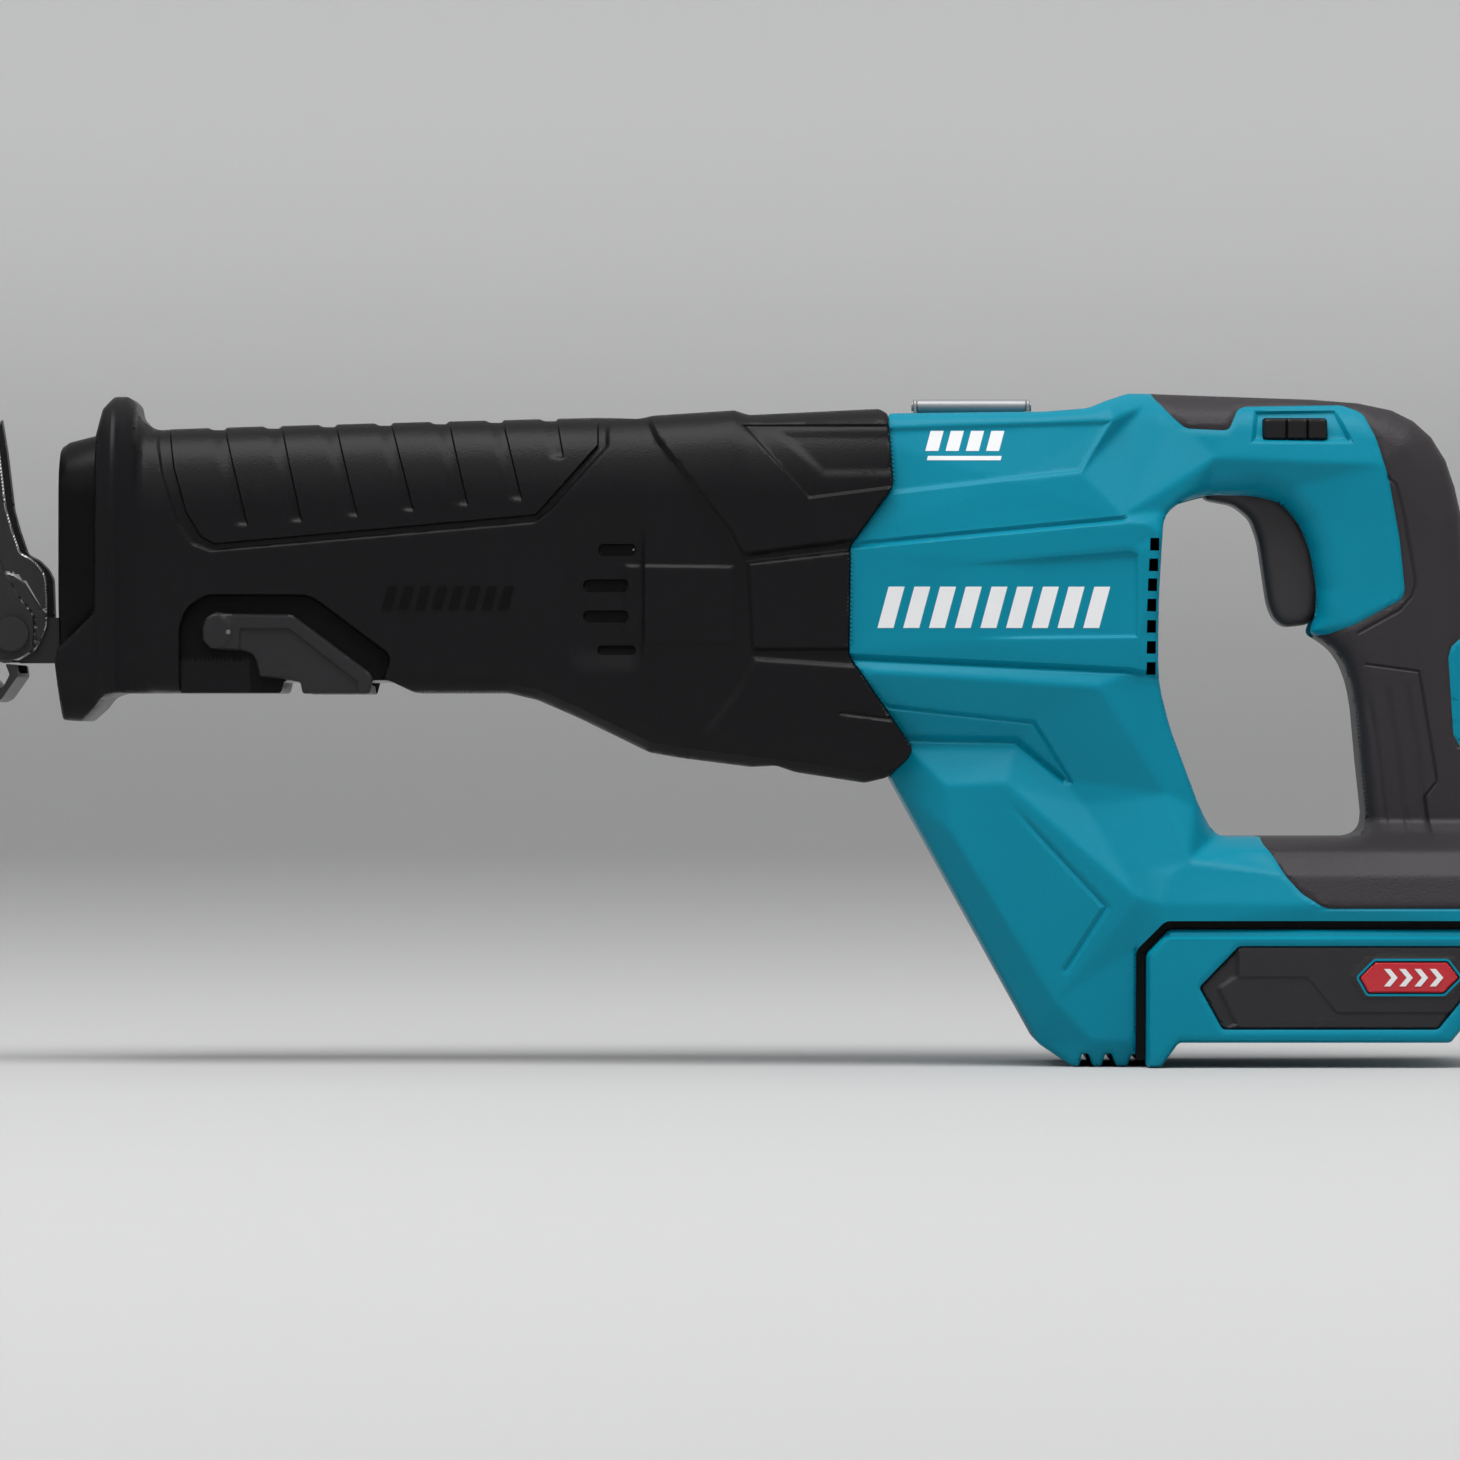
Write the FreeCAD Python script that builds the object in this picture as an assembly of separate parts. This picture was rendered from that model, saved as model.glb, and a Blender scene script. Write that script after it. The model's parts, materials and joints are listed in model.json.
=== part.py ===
"""Cordless reciprocating saw, bare tool with no battery. Millimetres, +Z up, nose towards -X.

The origin is under the middle of the tool's length, on its plane of symmetry, level with the feet.
The stroke line runs along X. The housing splits into a left half (-Y) and a right half (+Y).
"""
import FreeCAD
import Part
import math
import os

Vector = FreeCAD.Vector

# ---- driving dimensions -------------------------------------------------------------------------
STROKE = 32.0
STROKE_Z = 145.0
MOTOR_Z = 128.5
CRANK_X = -4.0
CRANK_RADIUS = STROKE / 2
BARREL_HALF = 37.0
HANDLE_HALF = 17.5
TOWER_HALF = 34.0
BASE_HALF = 41.0
BOOT_HALF = 30.0
BOOT_REAR_HALF = 38.0
WALL = 4.0
BOOT_WALL = 3.0
RUBBER = 2.0
GAP = 0.4
TOUCH = 0.05
GEAR_TEETH = 42
PINION_TEETH = 9
GEAR_MEAN_RADIUS = 26.0
GEAR_CASE_REAR_X = 35.0
NOSE_X = -172.0
COLLAR_X = -183.5
LEVER_PIVOT = (-138.0, 120.5)
SHOE_PIVOT = (-197.0, 120.0)
TRIGGER_PIVOT = (141.0, 162.5)
TRIGGER_HALF = 9.0
HOOK_PIVOT = (6.0, 184.0)
HOOK_X = (55.5, 85.5)
BUTTON_X = (151.0, 169.0)
BUTTON_Z = (174.0, 180.0)
BUTTON_TRAVEL = 4.0
SIDE_REACH = 60.0

# ---- side outlines, as (x, z) points ------------------------------------------------------------
SEAM = [(46.5, 185.0), (46.5, 181.0), (48.0, 160.5), (36.0, 144.0), (35.5, 114.0), (38.0, 110.5),
        (53.5, 88.0), (52.0, 85.0), (47.0, 80.5), (46.0, 60.0)]
TOP_LINE = [(46.5, 181.0), (89.5, 181.5), (102.0, 182.5), (115.0, 187.0), (120.0, 187.0),
            (165.0, 185.5), (178.0, 184.5), (187.5, 182.5), (193.5, 179.5), (198.5, 175.0),
            (202.5, 168.5), (205.0, 161.0), (207.0, 152.0), (208.0, 143.0)]
REAR_LINE = [(210.0, 125.0), (213.0, 90.0), (215.0, 68.0), (217.5, 61.0), (218.4, 52.0), (218.4, 40.5)]
FOOT_LINE = [(122.8, 40.5), (115.2, 32.5), (115.2, 0.0), (98.0, 0.0), (88.0, 6.5), (47.0, 80.5)]
SEAM_LINE = [(52.0, 85.0), (53.5, 88.0), (38.0, 110.5), (35.5, 114.0), (36.0, 144.0), (48.0, 160.5)]
HOUSING_SIDE = TOP_LINE + REAR_LINE + FOOT_LINE + SEAM_LINE
HAND_OPENING = [(122.0, 146.5), (123.0, 152.5), (127.5, 156.5), (136.0, 158.8), (149.0, 158.5),
                (156.5, 156.5), (161.5, 150.5), (164.5, 143.0), (166.3, 132.5), (166.0, 125.0),
                (164.0, 120.3), (169.0, 117.5), (172.5, 114.0), (175.0, 109.0), (176.8, 101.5),
                (178.3, 85.0), (180.0, 69.0), (179.0, 65.0), (176.0, 63.5), (139.5, 63.5),
                (136.5, 65.5), (133.0, 71.5), (129.0, 82.0), (124.5, 94.0), (121.8, 104.5),
                (121.0, 110.0), (121.0, 130.0)]
RUBBER_TOP = [(119.5, 190.0), (120.0, 186.5), (126.5, 179.5), (129.5, 177.0), (141.5, 176.5),
              (144.0, 182.3), (146.0, 183.3), (173.5, 183.8), (179.0, 181.5), (182.5, 174.5),
              (186.0, 163.0), (189.0, 146.5), (190.5, 132.0), (189.5, 129.5), (176.5, 122.5),
              (169.0, 119.8), (150.0, 119.0), (150.0, 63.0), (152.5, 59.0), (156.0, 53.0),
              (160.5, 48.0), (167.0, 44.0), (225.0, 44.0), (225.0, 190.0)]
CRADLE_SIDE = [(117.6, 0.0), (117.6, 31.5), (123.8, 38.2), (218.4, 38.2), (218.4, 28.0), (201.5, 7.0),
               (126.5, 7.0), (121.5, 0.0)]
INLAY_SIDE = [(132.0, 22.0), (143.5, 33.5), (210.0, 33.5), (213.5, 29.5), (198.0, 10.8), (138.0, 10.8)]
BADGE_SIDE = [(176.0, 25.0), (180.5, 29.5), (200.5, 29.5), (204.0, 25.0), (199.5, 20.5), (178.5, 20.5)]
LEVER_SIDE = [(-143.2, 118.2), (-143.5, 121.5), (-142.3, 124.5), (-139.5, 126.2), (-136.5, 125.8),
              (-134.0, 125.0), (-118.5, 125.3), (-97.0, 109.2), (-95.8, 107.5), (-97.0, 103.0),
              (-116.0, 103.3), (-119.5, 107.0), (-127.5, 113.6), (-131.5, 115.3), (-141.0, 115.6)]
LEVER_POCKET = [(-149.5, 95.0), (-149.5, 122.0), (-147.5, 127.0), (-142.5, 130.5), (-114.5, 130.5),
                (-91.5, 113.5), (-91.5, 95.0)]
TRIGGER_SIDE = [(135.0, 157.6), (144.0, 155.6), (148.6, 151.6), (151.0, 141.0), (152.5, 129.5),
                (154.5, 124.3), (157.5, 121.6), (164.0, 122.4), (167.0, 124.5), (168.5, 133.0),
                (166.5, 145.0), (161.5, 155.0), (155.0, 161.0), (147.0, 165.0), (138.5, 165.5),
                (135.5, 162.0)]


# ---- shape helpers ------------------------------------------------------------------------------
def polygon_wire(points):
    return Part.makePolygon(list(points) + [points[0]])


def side(points, y0, y1):
    """Prism of an (x, z) outline from y0 to y1."""
    face = Part.Face(polygon_wire([Vector(x, y0, z) for x, z in points]))
    return face.extrude(Vector(0, y1 - y0, 0))


def cross(points, x0, x1):
    """Prism of a (y, z) outline from x0 to x1."""
    face = Part.Face(polygon_wire([Vector(x0, y, z) for y, z in points]))
    return face.extrude(Vector(x1 - x0, 0, 0))


def plan(points, z0, z1):
    """Prism of an (x, y) outline from z0 to z1."""
    face = Part.Face(polygon_wire([Vector(x, y, z0) for x, y in points]))
    return face.extrude(Vector(0, 0, z1 - z0))


def symmetric(half):
    """A closed outline across Y from its +Y half, listed from top to bottom."""
    return list(half) + [(-y, z) for y, z in reversed(half)]


def box(x0, x1, y0, y1, z0, z1):
    return Part.makeBox(x1 - x0, y1 - y0, z1 - z0, Vector(x0, y0, z0))


def rod_x(x0, x1, r, z, y=0.0):
    return Part.makeCylinder(r, x1 - x0, Vector(x0, y, z), Vector(1, 0, 0))


def rod_y(y0, y1, r, x, z):
    return Part.makeCylinder(r, y1 - y0, Vector(x, y0, z), Vector(0, 1, 0))


def rod_z(z0, z1, r, x, y=0.0):
    return Part.makeCylinder(r, z1 - z0, Vector(x, y, z0), Vector(0, 0, 1))


def ring_x(x0, x1, r_out, r_in, z, y=0.0):
    return rod_x(x0, x1, r_out, z, y).cut(rod_x(x0, x1, r_in, z, y))


def mirrored(shape):
    return shape.mirror(Vector(0, 0, 0), Vector(0, 1, 0))


def both(shape):
    """The shape and its mirror image, as one compound of separate solids."""
    return Part.makeCompound([shape, mirrored(shape)])


def inset(points, distance):
    """The outline moved inwards by distance, with the same number of points."""
    area = sum(a[0] * b[1] - b[0] * a[1] for a, b in zip(points, points[1:] + points[:1]))
    turn = 1.0 if area > 0 else -1.0
    moved = []
    for before, here, after in zip(points[-1:] + points[:-1], points, points[1:] + points[:1]):
        d1 = Vector(here[0] - before[0], here[1] - before[1], 0).normalize()
        d2 = Vector(after[0] - here[0], after[1] - here[1], 0).normalize()
        n1 = Vector(-d1.y, d1.x, 0) * turn
        n2 = Vector(-d2.y, d2.x, 0) * turn
        reach = distance / (1.0 + n1.dot(n2))
        moved.append((here[0] + (n1.x + n2.x) * reach, here[1] + (n1.y + n2.y) * reach))
    return moved


def polyhedron(rings):
    """Solid through rings of equal point count, with triangles between neighbouring rings."""
    faces = [Part.Face(polygon_wire(rings[0])), Part.Face(polygon_wire(rings[-1]))]
    for a, b in zip(rings, rings[1:]):
        for i in range(len(a)):
            j = (i + 1) % len(a)
            quad = [a[i], a[j], b[j], b[i]]
            normal = (quad[1] - quad[0]).cross(quad[2] - quad[0])
            flat = abs((quad[3] - quad[0]).dot(normal)) < 1e-7 * max(normal.Length, 1e-9)
            parts = [quad] if flat else [[a[i], a[j], b[j]], [a[i], b[j], b[i]]]
            faces += [Part.Face(polygon_wire(p)) for p in parts]
    solid = Part.makeSolid(Part.makeShell(faces))
    if solid.Volume < 0:
        solid.reverse()
    return solid


def bevelled(points, half, bevel_in, bevel_y):
    """Prism of an (x, z) outline, symmetric across Y, with its side edges bevelled."""
    narrow = inset(points, bevel_in)
    stations = [(-half, narrow), (bevel_y - half, points), (half - bevel_y, points), (half, narrow)]
    return polyhedron([[Vector(x, y, z) for x, z in ring] for y, ring in stations])


def eight_sided(x, half, z_low, z_high):
    """An eight-sided section of the boot at x."""
    points = [(half - 9.0, z_high), (half, z_high - 14.0), (half, z_low + 8.0), (half - 6.0, z_low)]
    return [Vector(x, y, z) for y, z in points] + [Vector(x, -y, z) for y, z in reversed(points)]


def fuse_all(shapes):
    return shapes[0].multiFuse(shapes[1:]).removeSplitter() if len(shapes) > 1 else shapes[0]


def save(name, shape):
    solids = [s for s in shape.Solids if s.Volume > 0.5]
    kept = solids[0] if len(solids) == 1 else Part.makeCompound(solids)
    valid = all(s.isValid() for s in solids)
    print(f"{name}: {len(solids)} solid(s), {kept.Volume / 1000:.2f} cm3, valid {valid}")
    kept.exportStep(os.path.join("parts", name + ".step"))
    return kept


# ---- outer forms --------------------------------------------------------------------------------
def housing_form(depth):
    """The whole rear housing, grip included, moved inwards by depth."""
    outline = side(inset(HOUSING_SIDE, depth) if depth else HOUSING_SIDE, -SIDE_REACH, SIDE_REACH)
    barrel = cross(symmetric([(22 - depth, 182.0 - depth), (30 - depth, 177.5 - depth), (33 - depth, 160.0),
                              (BARREL_HALF - depth, 149.0), (BARREL_HALF - depth, 112.0),
                              (TOWER_HALF - depth, 108.0), (TOWER_HALF - depth, 95.0),
                              (TOWER_HALF - depth, 60.0)]), 30.0, 123.0 - depth)
    neck = plan(symmetric([(95.0, 30.0 - depth), (108.0, 30.0 - depth), (118.0, 25.0 - depth),
                           (134.0, HANDLE_HALF - depth), (150.0, HANDLE_HALF - depth)])[:5]
                + [(150.0, depth - HANDLE_HALF), (134.0, depth - HANDLE_HALF), (118.0, depth - 25.0),
                   (108.0, depth - 30.0), (95.0, depth - 30.0)], 147.0, 190.0)
    neck = neck.common(cross(symmetric([(9.0 - depth / 2, 187.5 - depth), (31.0 - depth, 172.0 - depth),
                                        (31.0 - depth, 147.0)]), 95.0, 150.0))
    handle = [(118.0, 187.0)] + TOP_LINE[5:] + REAR_LINE + [(118.0, 40.5)]
    handle = bevelled(inset(handle, depth) if depth else handle, HANDLE_HALF - depth, 4.0, 5.0)
    tower = [(47.0, 80.5), (40.0, 100.0), (123.0, 112.0), (136.5, 64.0), (124.0, 50.0), (123.0, 40.5),
             (115.2, 32.5), (115.2, 0.0), (98.0, 0.0), (88.0, 6.5)]
    tower = bevelled(inset(tower, depth) if depth else tower, TOWER_HALF - depth, 6.0, 8.0)
    base = cross(symmetric([(16.0 - depth, 63.5 - depth), (34.0 - depth, 54.0 - depth),
                            (BASE_HALF - depth, 47.5 - depth), (BASE_HALF - depth, 40.5 + depth)]),
                 115.0 + depth, 218.4 - depth)
    base = base.common(plan(symmetric([(113.0, 34.0), (126.0, 43.0), (206.0, 43.0), (219.0, 30.0)])[:4]
                            + [(219.0, -30.0), (206.0, -43.0), (126.0, -43.0), (113.0, -34.0)], 30.0, 70.0))
    body = fuse_all([barrel, neck, handle, tower, base]).common(outline)
    hole = inset(HAND_OPENING, -depth) if depth else HAND_OPENING
    return body.cut(side(hole, -SIDE_REACH, SIDE_REACH))


def boot_form(depth):
    """The front boot without its flange, moved inwards by depth and left long at the rear."""
    stations = [(NOSE_X, BOOT_HALF, 103.5, 178.0), (-152.0, BOOT_HALF, 103.5, 177.0),
                (-59.0, BOOT_HALF, 103.5, 179.8), (-50.0, 31.0, 101.5, 180.0), (-39.0, 33.0, 96.5, 180.0),
                (-19.5, 37.0, 87.0, 180.8), (4.0, BOOT_REAR_HALF, 83.5, 182.0),
                (21.0, BOOT_REAR_HALF, 81.5, 181.8), (40.0, BOOT_REAR_HALF, 78.5, 182.3),
                (60.0, BARREL_HALF, 78.5, 181.3)]
    rings = [eight_sided(x, half - depth, low + depth, high - depth)
             for x, half, low, high in stations]
    return polyhedron(rings)


def flange_form():
    """The hand guard round the front of the boot, with its lip under the nose."""
    profile = [(-171.5, 182.5), (-168.0, 186.0), (-164.5, 186.0), (-162.0, 181.0), (-157.0, 177.0),
               (-157.0, 103.5), (-170.5, 103.5), (-173.5, 99.0), (-177.0, 95.5), (-182.0, 96.0),
               (-184.0, 111.5), (-183.5, 115.5), (-173.0, 125.5), (-173.0, 174.5)]
    front = symmetric([(14.0, 186.0), (26.0, 181.0), (34.0, 170.0), (36.5, 155.0), (36.5, 122.0),
                       (32.0, 104.0), (25.0, 95.5)])
    return side(profile, -SIDE_REACH, SIDE_REACH).common(cross(front, -185.0, -157.0))


# ---- housing, grip and cradle -------------------------------------------------------------------
SCREWS = [(57.0, 168.0), (112.0, 158.5), (126.5, 170.5), (192.0, 170.0), (203.0, 100.0), (190.0, 52.0),
          (70.5, 67.0), (96.0, 12.5)]
VENT_Z = [110.6 + 5.7 * i for i in range(7)]


def screw_boss(x, z):
    return rod_y(-SIDE_REACH, SIDE_REACH, 5.0, x, z)


def screw_hole(x, z):
    shank = rod_y(-12.0, 9.0, 2.0, x, z)
    head = rod_y(8.0, SIDE_REACH, 3.9, x, z)
    return shank.fuse(head)


def screw(x, z):
    shank = rod_y(-12.0, 8.0, 2.0, x, z)
    head = rod_y(8.0, 11.0, 3.6, x, z)
    socket = rod_y(9.4, 11.0, 1.9, x, z)
    return shank.fuse(head).cut(socket)


def make_housing():
    """Both housing halves and both halves of the grip's rubber."""
    outer = housing_form(0.0)
    cavity = housing_form(WALL)
    zone = side(RUBBER_TOP, -SIDE_REACH, SIDE_REACH)
    core = housing_form(RUBBER)
    rubber = outer.common(zone).cut(core)
    shell = outer.cut(cavity)
    ribs = [box(x, x + 3.0, -SIDE_REACH, SIDE_REACH, 92.0, 190.0) for x in (55.0, 84.0)]
    ribs.append(box(109.0, 118.0, -SIDE_REACH, SIDE_REACH, 92.0, 190.0))
    middle = housing_form(WALL - 1.0)
    ribs = [rib.common(middle).cut(rod_x(40.0, 100.0, 27.0, MOTOR_Z)) for rib in ribs]
    bosses = [screw_boss(x, z).common(middle) for x, z in SCREWS]
    shell = shell.multiFuse(ribs + bosses)
    shell = shell.cut(rubber)
    shell = shell.cut(rod_x(97.0, 109.0, 27.5, MOTOR_Z))
    shell = shell.cut(rod_x(108.0, 116.0, 8.0, MOTOR_Z))
    front_mouth = cross(symmetric([(26.0, 172.0), (31.5, 158.0), (33.0, 112.0), (28.0, 88.0)]), 30.0, 49.0)
    shell = shell.cut(front_mouth)
    slot = side([(131.5, 169.5), (176.0, 169.5), (176.0, 120.9), (163.0, 119.0), (148.0, 119.0)],
                -TRIGGER_HALF - 0.7, TRIGGER_HALF + 0.7)
    shell = shell.cut(slot)
    shell = shell.fuse(rod_y(-HANDLE_HALF + 1, HANDLE_HALF - 1, 4.0, *TRIGGER_PIVOT).cut(
        rod_y(-TRIGGER_HALF - 0.7, TRIGGER_HALF + 0.7, 5.0, *TRIGGER_PIVOT)))
    shell = shell.cut(rod_y(-15.0, 15.0, 2.0, *TRIGGER_PIVOT))
    button_hole = box(BUTTON_X[0] - GAP, BUTTON_X[1] + GAP, -30.0, 30.0, BUTTON_Z[0] - GAP, BUTTON_Z[1] + GAP)
    shell = shell.cut(button_hole)
    rubber = rubber.cut(button_hole)
    vents = [box(119.0, 124.0, -SIDE_REACH, SIDE_REACH, z, z + 3.4) for z in VENT_Z]
    shell = shell.cut(fuse_all(vents))
    feet = [box(x, x + 3.0, -SIDE_REACH, SIDE_REACH, -1.0, 3.5) for x in (101.5, 107.5)]
    shell = shell.cut(fuse_all(feet)).cut(fuse_all([screw_hole(x, z) for x, z in SCREWS]))
    rubber = rubber.cut(fuse_all([screw_hole(x, z) for x, z in SCREWS]))
    left = box(0.0, 300.0, -SIDE_REACH, 0.0, -5.0, 200.0)
    right = box(0.0, 300.0, 0.0, SIDE_REACH, -5.0, 200.0)
    save("housing_left", shell.common(left))
    save("housing_right", shell.common(right))
    save("grip_rubber_left", rubber.common(left))
    save("grip_rubber_right", rubber.common(right))
    save("housing_screws", Part.makeCompound([screw(x, z) for x, z in SCREWS]))
    return outer


def make_cradle():
    """The battery cradle under the base: walls, rails, seal, side inlays, badges and terminals."""
    outer = bevelled(CRADLE_SIDE, BASE_HALF + 1.0, 2.0, 3.0)
    bay = box(124.5, 225.0, -35.0, 35.0, -5.0, 31.5)
    cradle = outer.cut(bay)
    rail = box(126.0, 212.0, 30.5, 36.0, 14.0, 18.0)
    cradle = fuse_all([cradle, rail.common(outer), mirrored(rail).common(outer)])
    pocket = side(INLAY_SIDE, BASE_HALF - 2.5, SIDE_REACH)
    cradle = cradle.cut(pocket).cut(mirrored(pocket))
    block = box(126.5, 160.0, -20.0, 20.0, 23.5, 31.5)
    notch = box(140.0, 161.0, -14.0, 14.0, 22.0, 29.0)
    save("terminal_block", block.cut(notch))
    blades = [box(140.0, 156.0, y - 0.6, y + 0.6, 23.5, 29.0) for y in (-11.0, -5.0, 5.0, 11.0)]
    save("terminal_blades", Part.makeCompound(blades))
    save("cradle_left", cradle.common(box(100.0, 300.0, -SIDE_REACH, 0.0, -5.0, 60.0)))
    save("cradle_right", cradle.common(box(100.0, 300.0, 0.0, SIDE_REACH, -5.0, 60.0)))
    inlay = side(inset(INLAY_SIDE, 0.4), BASE_HALF - 2.5, BASE_HALF + 0.2)
    raised = side(inset(INLAY_SIDE, 3.0), BASE_HALF + 0.2, BASE_HALF + 0.8)
    seat = side(BADGE_SIDE, BASE_HALF - 0.6, SIDE_REACH)
    inlay = inlay.fuse(raised).cut(seat)
    badge = side(inset(BADGE_SIDE, 0.2), BASE_HALF - 0.6, BASE_HALF + 1.0)
    save("cradle_inlay_right", inlay)
    save("cradle_inlay_left", mirrored(inlay))
    save("badge_right", badge)
    save("badge_left", mirrored(badge))
    gap_line = [(115.2, 2.0), (115.2, 32.5), (122.8, 40.5), (216.0, 40.5), (216.0, 38.2), (123.8, 38.2),
                (117.6, 31.5), (117.6, 2.0)]
    seal = side(gap_line, -TOWER_HALF + 3.0, TOWER_HALF - 3.0)
    save("cradle_seal", seal)


# ---- boot, gear case and nose -------------------------------------------------------------------
def seam_side():
    """Everything in front of the zigzag seam between boot and housing."""
    return side([(-200.0, 200.0), (46.5, 200.0)] + SEAM[1:] + [(-200.0, 60.0)], -SIDE_REACH, SIDE_REACH)


def lever_pockets(reach_in):
    pocket = side(LEVER_POCKET, reach_in, SIDE_REACH)
    web_way = box(-121.0, -91.5, -SIDE_REACH, SIDE_REACH, 95.0, 106.5)
    return fuse_all([pocket, mirrored(pocket), web_way])


def gear_chamber():
    """The space inside the gear case for the crank, yoke and counterweight."""
    chamber = cross(symmetric([(21.0, 172.0), (31.0, 160.0), (31.0, 108.0)]), -37.0, 26.5)
    lower = box(-30.0, 22.0, -28.0, 28.0, 93.0, 109.0)
    boss = rod_z(85.0, 110.5, 20.0, CRANK_X)
    return chamber.fuse(lower).cut(boss)


def make_front():
    """The boot, the gear case with its cover, the nose collar and the lamp."""
    inner = boot_form(BOOT_WALL)
    boot = fuse_all([boot_form(0.0), flange_form()]).common(seam_side())
    boot = boot.cut(inner.fuse(box(-190.0, NOSE_X + 0.5, -29.0 - GAP, 29.0 + GAP, 108.6, 175.9)))
    boot = boot.cut(lever_pockets(BOOT_HALF - BOOT_WALL))
    boot = boot.cut(box(-186.0, -180.0, -7.0, 7.0, 99.5, 105.5))
    for z, x in ((142.7, -34.0), (133.2, -38.5), (124.8, -38.5), (115.5, -34.0)):
        boot = boot.cut(box(x, x + 12.0, -SIDE_REACH, -28.0, z - 1.6, z + 1.6))
        boot = boot.cut(box(x, x + 12.0, 28.0, SIDE_REACH, z - 1.6, z + 1.6))
    save("front_boot", boot)
    case = inner.common(box(NOSE_X, GEAR_CASE_REAR_X, -SIDE_REACH, SIDE_REACH, 0.0, 200.0))
    case = case.cut(lever_pockets(BOOT_HALF - BOOT_WALL))
    case = case.cut(gear_chamber())
    hollows = [rod_x(-200.0, -122.0, 20.5, STROKE_Z), rod_x(-130.0, -30.0, 11.0, STROKE_Z),
               rod_x(-122.0, -98.0, 13.0, STROKE_Z), rod_x(-60.0, -30.0, 13.0, STROKE_Z),
               rod_z(91.0, 120.0, 16.0, CRANK_X), rod_x(20.0, 50.0, 8.0, MOTOR_Z),
               rod_x(28.0, 50.0, 11.0, MOTOR_Z),
               box(-200.0, -104.0, 12.5, 16.5, 111.5, 125.0), box(-200.0, -104.0, -16.5, -12.5, 111.5, 125.0),
               box(-200.0, -104.0, -12.5, 12.5, 111.5, 117.6),
               box(-96.0, -66.0, -SIDE_REACH, -12.5, 110.0, 168.0), box(-96.0, -66.0, 12.5, SIDE_REACH, 110.0, 168.0),
               rod_y(-40.0, 40.0, 4.0 + TOUCH, *LEVER_PIVOT).cut(box(-160.0, -120.0, -18.0, 18.0, 100.0, 140.0))]
    case = case.cut(fuse_all(hollows))
    lid = box(-45.0, GEAR_CASE_REAR_X, -SIDE_REACH, SIDE_REACH, 154.0, 200.0)
    save("gear_case", case.cut(lid))
    save("gear_case_cover", case.common(lid))
    outer = symmetric([(20.0, 175.5), (27.0, 169.5), (29.0, 160.0), (29.0, 130.0), (26.0, 120.0), (22.0, 113.0)])
    front = symmetric([(18.0, 172.0), (24.0, 167.0), (26.0, 158.0), (26.0, 131.0), (23.0, 121.5), (20.0, 115.5)])
    collar = polyhedron([[Vector(x, y, z) for y, z in ring]
                         for x, ring in ((NOSE_X - 1.0, outer), (COLLAR_X + 2.0, outer), (COLLAR_X, front))])
    mouth = rod_x(-190.0, -170.0, 20.5, STROKE_Z).fuse(box(-190.0, -170.0, -17.0, 17.0, 110.0, 130.0))
    nose_plate = box(NOSE_X - 1.0, NOSE_X, -26.0, 26.0, 109.0, 170.5).cut(mouth)
    save("nose_collar", collar.cut(mouth).fuse(nose_plate))
    lens = box(-182.6, -180.0, -7.0, 7.0, 99.5, 105.5)
    save("lamp_lens", lens)
    save("stroke_bush_front", ring_x(-122.0, -98.0, 13.0, 9.0 + TOUCH, STROKE_Z))
    save("stroke_bush_rear", ring_x(-60.0, -38.0, 13.0, 9.0 + TOUCH, STROKE_Z))
    save("nose_seal", ring_x(-125.5, -122.0, 20.5, 9.3, STROKE_Z))


# ---- moving shoe and lever ----------------------------------------------------------------------
def make_shoe():
    """The sliding bars, the pivoting shoe with its pin, and the lock lever."""
    x, z = SHOE_PIVOT
    bar = box(x, -106.0, 13.0, 16.0, 112.0, 124.5).fuse(
        rod_y(13.0, 16.0, 6.0, x, z).common(box(-210.0, x, 0.0, 20.0, 112.0, 124.5)))
    notches = [rod_y(12.0, 17.0, 1.6, -126.0 + 6.0 * i, 124.5) for i in range(4)]
    bar = bar.cut(fuse_all(notches)).cut(rod_y(10.0, 20.0, 3.0, x, z))
    bridge = box(-112.0, -106.0, -13.0, 13.0, 112.5, 117.0)
    save("shoe_bars", fuse_all([bar, mirrored(bar), bridge]))
    pin = rod_y(-19.0, 19.0, 3.0, x, z)
    heads = both(rod_y(19.0, 20.6, 4.8, x, z))
    save("shoe_pin", fuse_all([pin] + heads.Solids))
    face_back = [(-204.0, 183.5), (-210.0, 172.0), (-214.0, 158.0), (-215.4, 144.0), (-213.5, 128.0),
                 (-208.5, 113.5), (-201.0, 104.5), (-195.0, 109.0)]
    face_front = [(-193.5, 106.5), (-201.0, 100.8), (-211.0, 111.5), (-216.5, 127.0), (-218.4, 144.0),
                  (-217.0, 158.5), (-212.8, 173.0), (-206.5, 185.0)]
    plate = side(face_back + face_front, -22.0, 22.0)
    plate = plate.cut(box(-225.0, -190.0, -5.5, 5.5, 122.0, 168.0))
    ear_side = [(-202.0, 181.0), (-200.4, 171.0), (-198.5, 155.0), (-194.6, 142.6), (-191.4, 141.0),
                (-188.8, 138.4), (-187.4, 135.6), (-187.0, 122.0), (-190.0, 115.5), (-195.0, 112.5),
                (-202.0, 112.0), (-209.5, 116.0), (-214.5, 130.0), (-216.0, 144.0), (-214.5, 158.0),
                (-210.0, 172.0)]
    ear = side(ear_side, 16.4, 18.8).cut(rod_y(10.0, 25.0, 3.0 + TOUCH, x, z))
    save("shoe_plate", fuse_all([plate, ear, mirrored(ear)]))
    px, pz = LEVER_PIVOT
    arm = side(LEVER_SIDE, 27.2, 29.8)
    web = box(-116.5, -97.5, -27.2, 27.2, 103.4, 106.2)
    arm_left = mirrored(arm)
    pin_right = rod_y(18.5, 27.2, 4.0, px, pz)
    save("shoe_lock_lever", fuse_all([arm, arm_left, web]))
    save("lever_pins", both(pin_right))


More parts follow.
